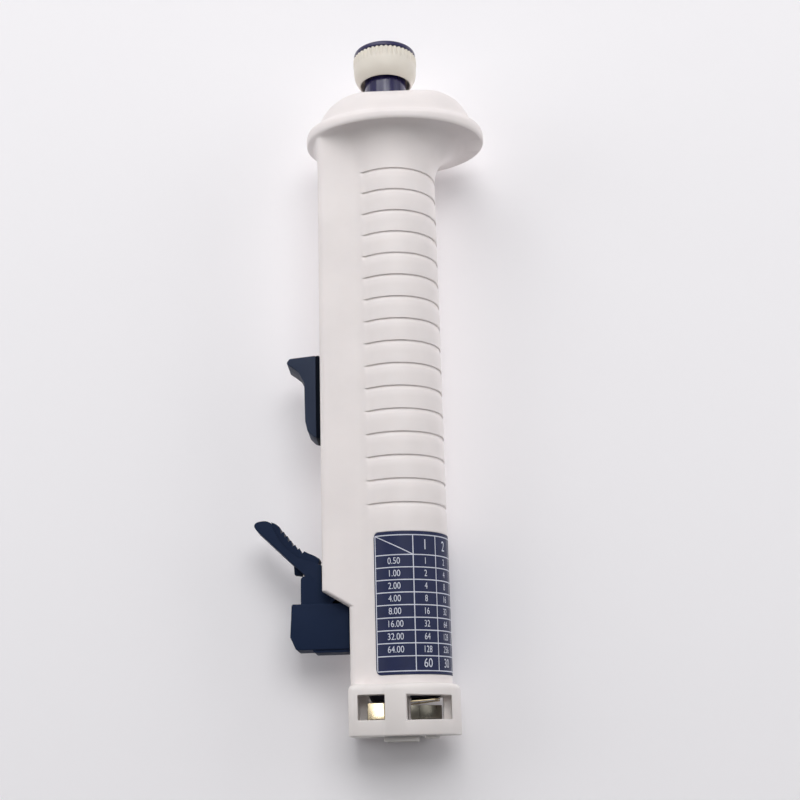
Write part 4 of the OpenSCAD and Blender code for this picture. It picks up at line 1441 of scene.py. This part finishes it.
@dataclass(frozen=True)
class Softbox:
    """Rectangular light aimed at a point, with sizes in millimetres."""

    name: str
    place: Point3
    size: Point2
    power: float
    aim: Point3 = (0.0, 0.0, 105.0)
    colour: str = "FFFFFF"

    def build(self) -> bpy.types.Object:
        """Makes the light.

        Returns:
            The light object.
        """
        lamp = bpy.data.lights.new(self.name, "AREA")
        lamp.shape = "RECTANGLE"
        lamp.size, lamp.size_y = self.size[0] * MM, self.size[1] * MM
        lamp.energy = self.power
        lamp.color = srgb(self.colour)[:3]
        made = bpy.data.objects.new(self.name, lamp)
        bpy.context.scene.collection.objects.link(made)
        made.location = Vector(self.place) * MM
        made.rotation_euler = (Vector(self.aim) - Vector(self.place)).to_track_quat("-Z", "Y").to_euler()
        return made


@dataclass
class Stage:
    """Pale sheet that the object lies on. It is clear from its back and stops no light on its way to a lamp."""

    paper: str = "FAF8FA"
    nose_y: float = 15.3
    rise: float = 0.0385
    reach: float = 2500.0
    fibre: float = 2.0

    def paper_material(self) -> bpy.types.Material:
        """Makes the paper: matt, faintly fibrous, and clear when seen from behind.

        Returns:
            The paper's material.
        """
        material = bpy.data.materials.new("stage_paper")
        material.use_nodes = True
        tree = material.node_tree
        tree.nodes.clear()
        place = add_node(tree, "ShaderNodeTexCoord").outputs["Object"]
        fibre = add_node(tree, "ShaderNodeTexNoise", {
            "Vector": place, "Scale": 1 / (self.fibre * MM), "Detail": 4, "Roughness": 0.6}).outputs["Fac"]
        bump = add_node(tree, "ShaderNodeBump", {"Height": fibre, "Strength": 0.1, "Distance": 0.02 * MM})
        paper = add_node(tree, "ShaderNodeBsdfDiffuse", {
            "Color": srgb(self.paper), "Normal": bump.outputs["Normal"]})
        clear = add_node(tree, "ShaderNodeBsdfTransparent")
        unseen = add_node(tree, "ShaderNodeMath", {
            0: add_node(tree, "ShaderNodeNewGeometry").outputs["Backfacing"],
            1: add_node(tree, "ShaderNodeLightPath").outputs["Is Shadow Ray"]}, operation="MAXIMUM")
        mixed = add_node(tree, "ShaderNodeMixShader", {
            0: unseen.outputs[0], 1: paper.outputs[0], 2: clear.outputs[0]})
        add_node(tree, "ShaderNodeOutputMaterial", {"Surface": mixed.outputs[0]})
        return material

    def build(self) -> None:
        """Makes the sheet, the lamps and the surrounding glow."""
        r = self.reach
        low, high = self.nose_y - r * self.rise, self.nose_y + r * self.rise
        corners = [(-r, low, -r), (r, low, -r), (r, high, r), (-r, high, r)]
        sheet = raw_mesh("stage_sheet", corners, [(0, 1, 2, 3)])
        sheet.data.materials.append(self.paper_material())
        for lamp in (
            Softbox("light_top", (-260, -620, 820), (800, 500), 2.3),
            Softbox("light_front", (150, -950, 450), (600, 500), 3.7),
            Softbox("light_right", (900, -450, 350), (500, 700), 1.9),
            Softbox("light_left", (-900, -500, 300), (600, 600), 2.3),
            Softbox("light_rear", (300, 900, 500), (900, 700), 5.0),
        ):
            lamp.build()
        self.surround()

    def surround(self) -> None:
        """Fills the world with soft light, brighter from above, that also shows in gloss."""
        world = bpy.data.worlds.new("studio")
        bpy.context.scene.world = world
        world.use_nodes = True
        tree = world.node_tree
        tree.nodes.clear()
        rays = add_node(tree, "ShaderNodeLightPath")
        seen = add_node(tree, "ShaderNodeMath", {
            0: rays.outputs["Is Glossy Ray"], 1: rays.outputs["Is Transmission Ray"]}, operation="MAXIMUM")
        heading = add_node(tree, "ShaderNodeSeparateXYZ", {
            "Vector": add_node(tree, "ShaderNodeTexCoord").outputs["Generated"]})
        soft, gloss = (
            add_node(tree, "ShaderNodeMapRange", {
                "Value": heading.outputs["Z"], "From Min": start, "From Max": end, "To Min": 0.05, "To Max": bright,
            }).outputs["Result"]
            for start, end, bright in ((-0.7, 0.8, 0.53), (-0.5, 0.9, 0.62))
        )
        power = add_node(tree, "ShaderNodeMix", {"Factor": seen.outputs[0], "A": soft, "B": gloss})
        glow = add_node(tree, "ShaderNodeBackground", {"Color": srgb("F4F4F8"), "Strength": power.outputs[0]})
        add_node(tree, "ShaderNodeOutputWorld", {"Surface": glow.outputs[0]})


@dataclass
class Viewpoint:
    """Camera of the main view, fitted to the object's frame."""

    place: Point3 = (6.88, -394.54, -6.0)
    pitch: float = 15.234
    yaw: float = -0.881
    roll: float = -1.577
    lens: float = 59.151

    def build(self) -> bpy.types.Object:
        """Makes the camera.

        Returns:
            The camera object.
        """
        pitch, yaw, roll = (math.radians(v) for v in (self.pitch, self.yaw, self.roll))
        ahead = Vector((math.sin(yaw) * math.cos(pitch), math.cos(yaw) * math.cos(pitch), math.sin(pitch)))
        right = Vector((math.cos(yaw), -math.sin(yaw), 0))
        up = right.cross(ahead)
        across = right * math.cos(roll) + up * math.sin(roll)
        upward = up * math.cos(roll) - right * math.sin(roll)
        data = bpy.data.cameras.new("main_view")
        data.lens, data.sensor_width = self.lens, 36.0
        data.clip_start, data.clip_end = 0.01, 50.0
        made = bpy.data.objects.new("main_view", data)
        bpy.context.scene.collection.objects.link(made)
        turn = Matrix((across, upward, -ahead)).transposed().to_4x4()
        made.matrix_world = Matrix.Translation(Vector(self.place) * MM) @ turn
        bpy.context.scene.camera = made
        return made


def main() -> None:
    """Builds every piece, the stage, the light and the camera."""
    logging.basicConfig(level=logging.INFO)
    for maker in (Housing(), LabelWrap(), Nose(), Dial(), ThumbLever(), FillingLever(), SlideBlock()):
        for piece in maker.build():
            log.info("%s: %s with %d faces", type(maker).__name__, piece.name, len(piece.data.polygons))
    dress_carried_nodes()
    springs = seat_return_springs()
    log.info("carried over: %d nodes, %s bends", len(CARRIED), springs.name)
    Stage().build()
    Viewpoint().build()
    bpy.context.scene.view_settings.view_transform = "Standard"


if __name__ == "__main__":
    main()
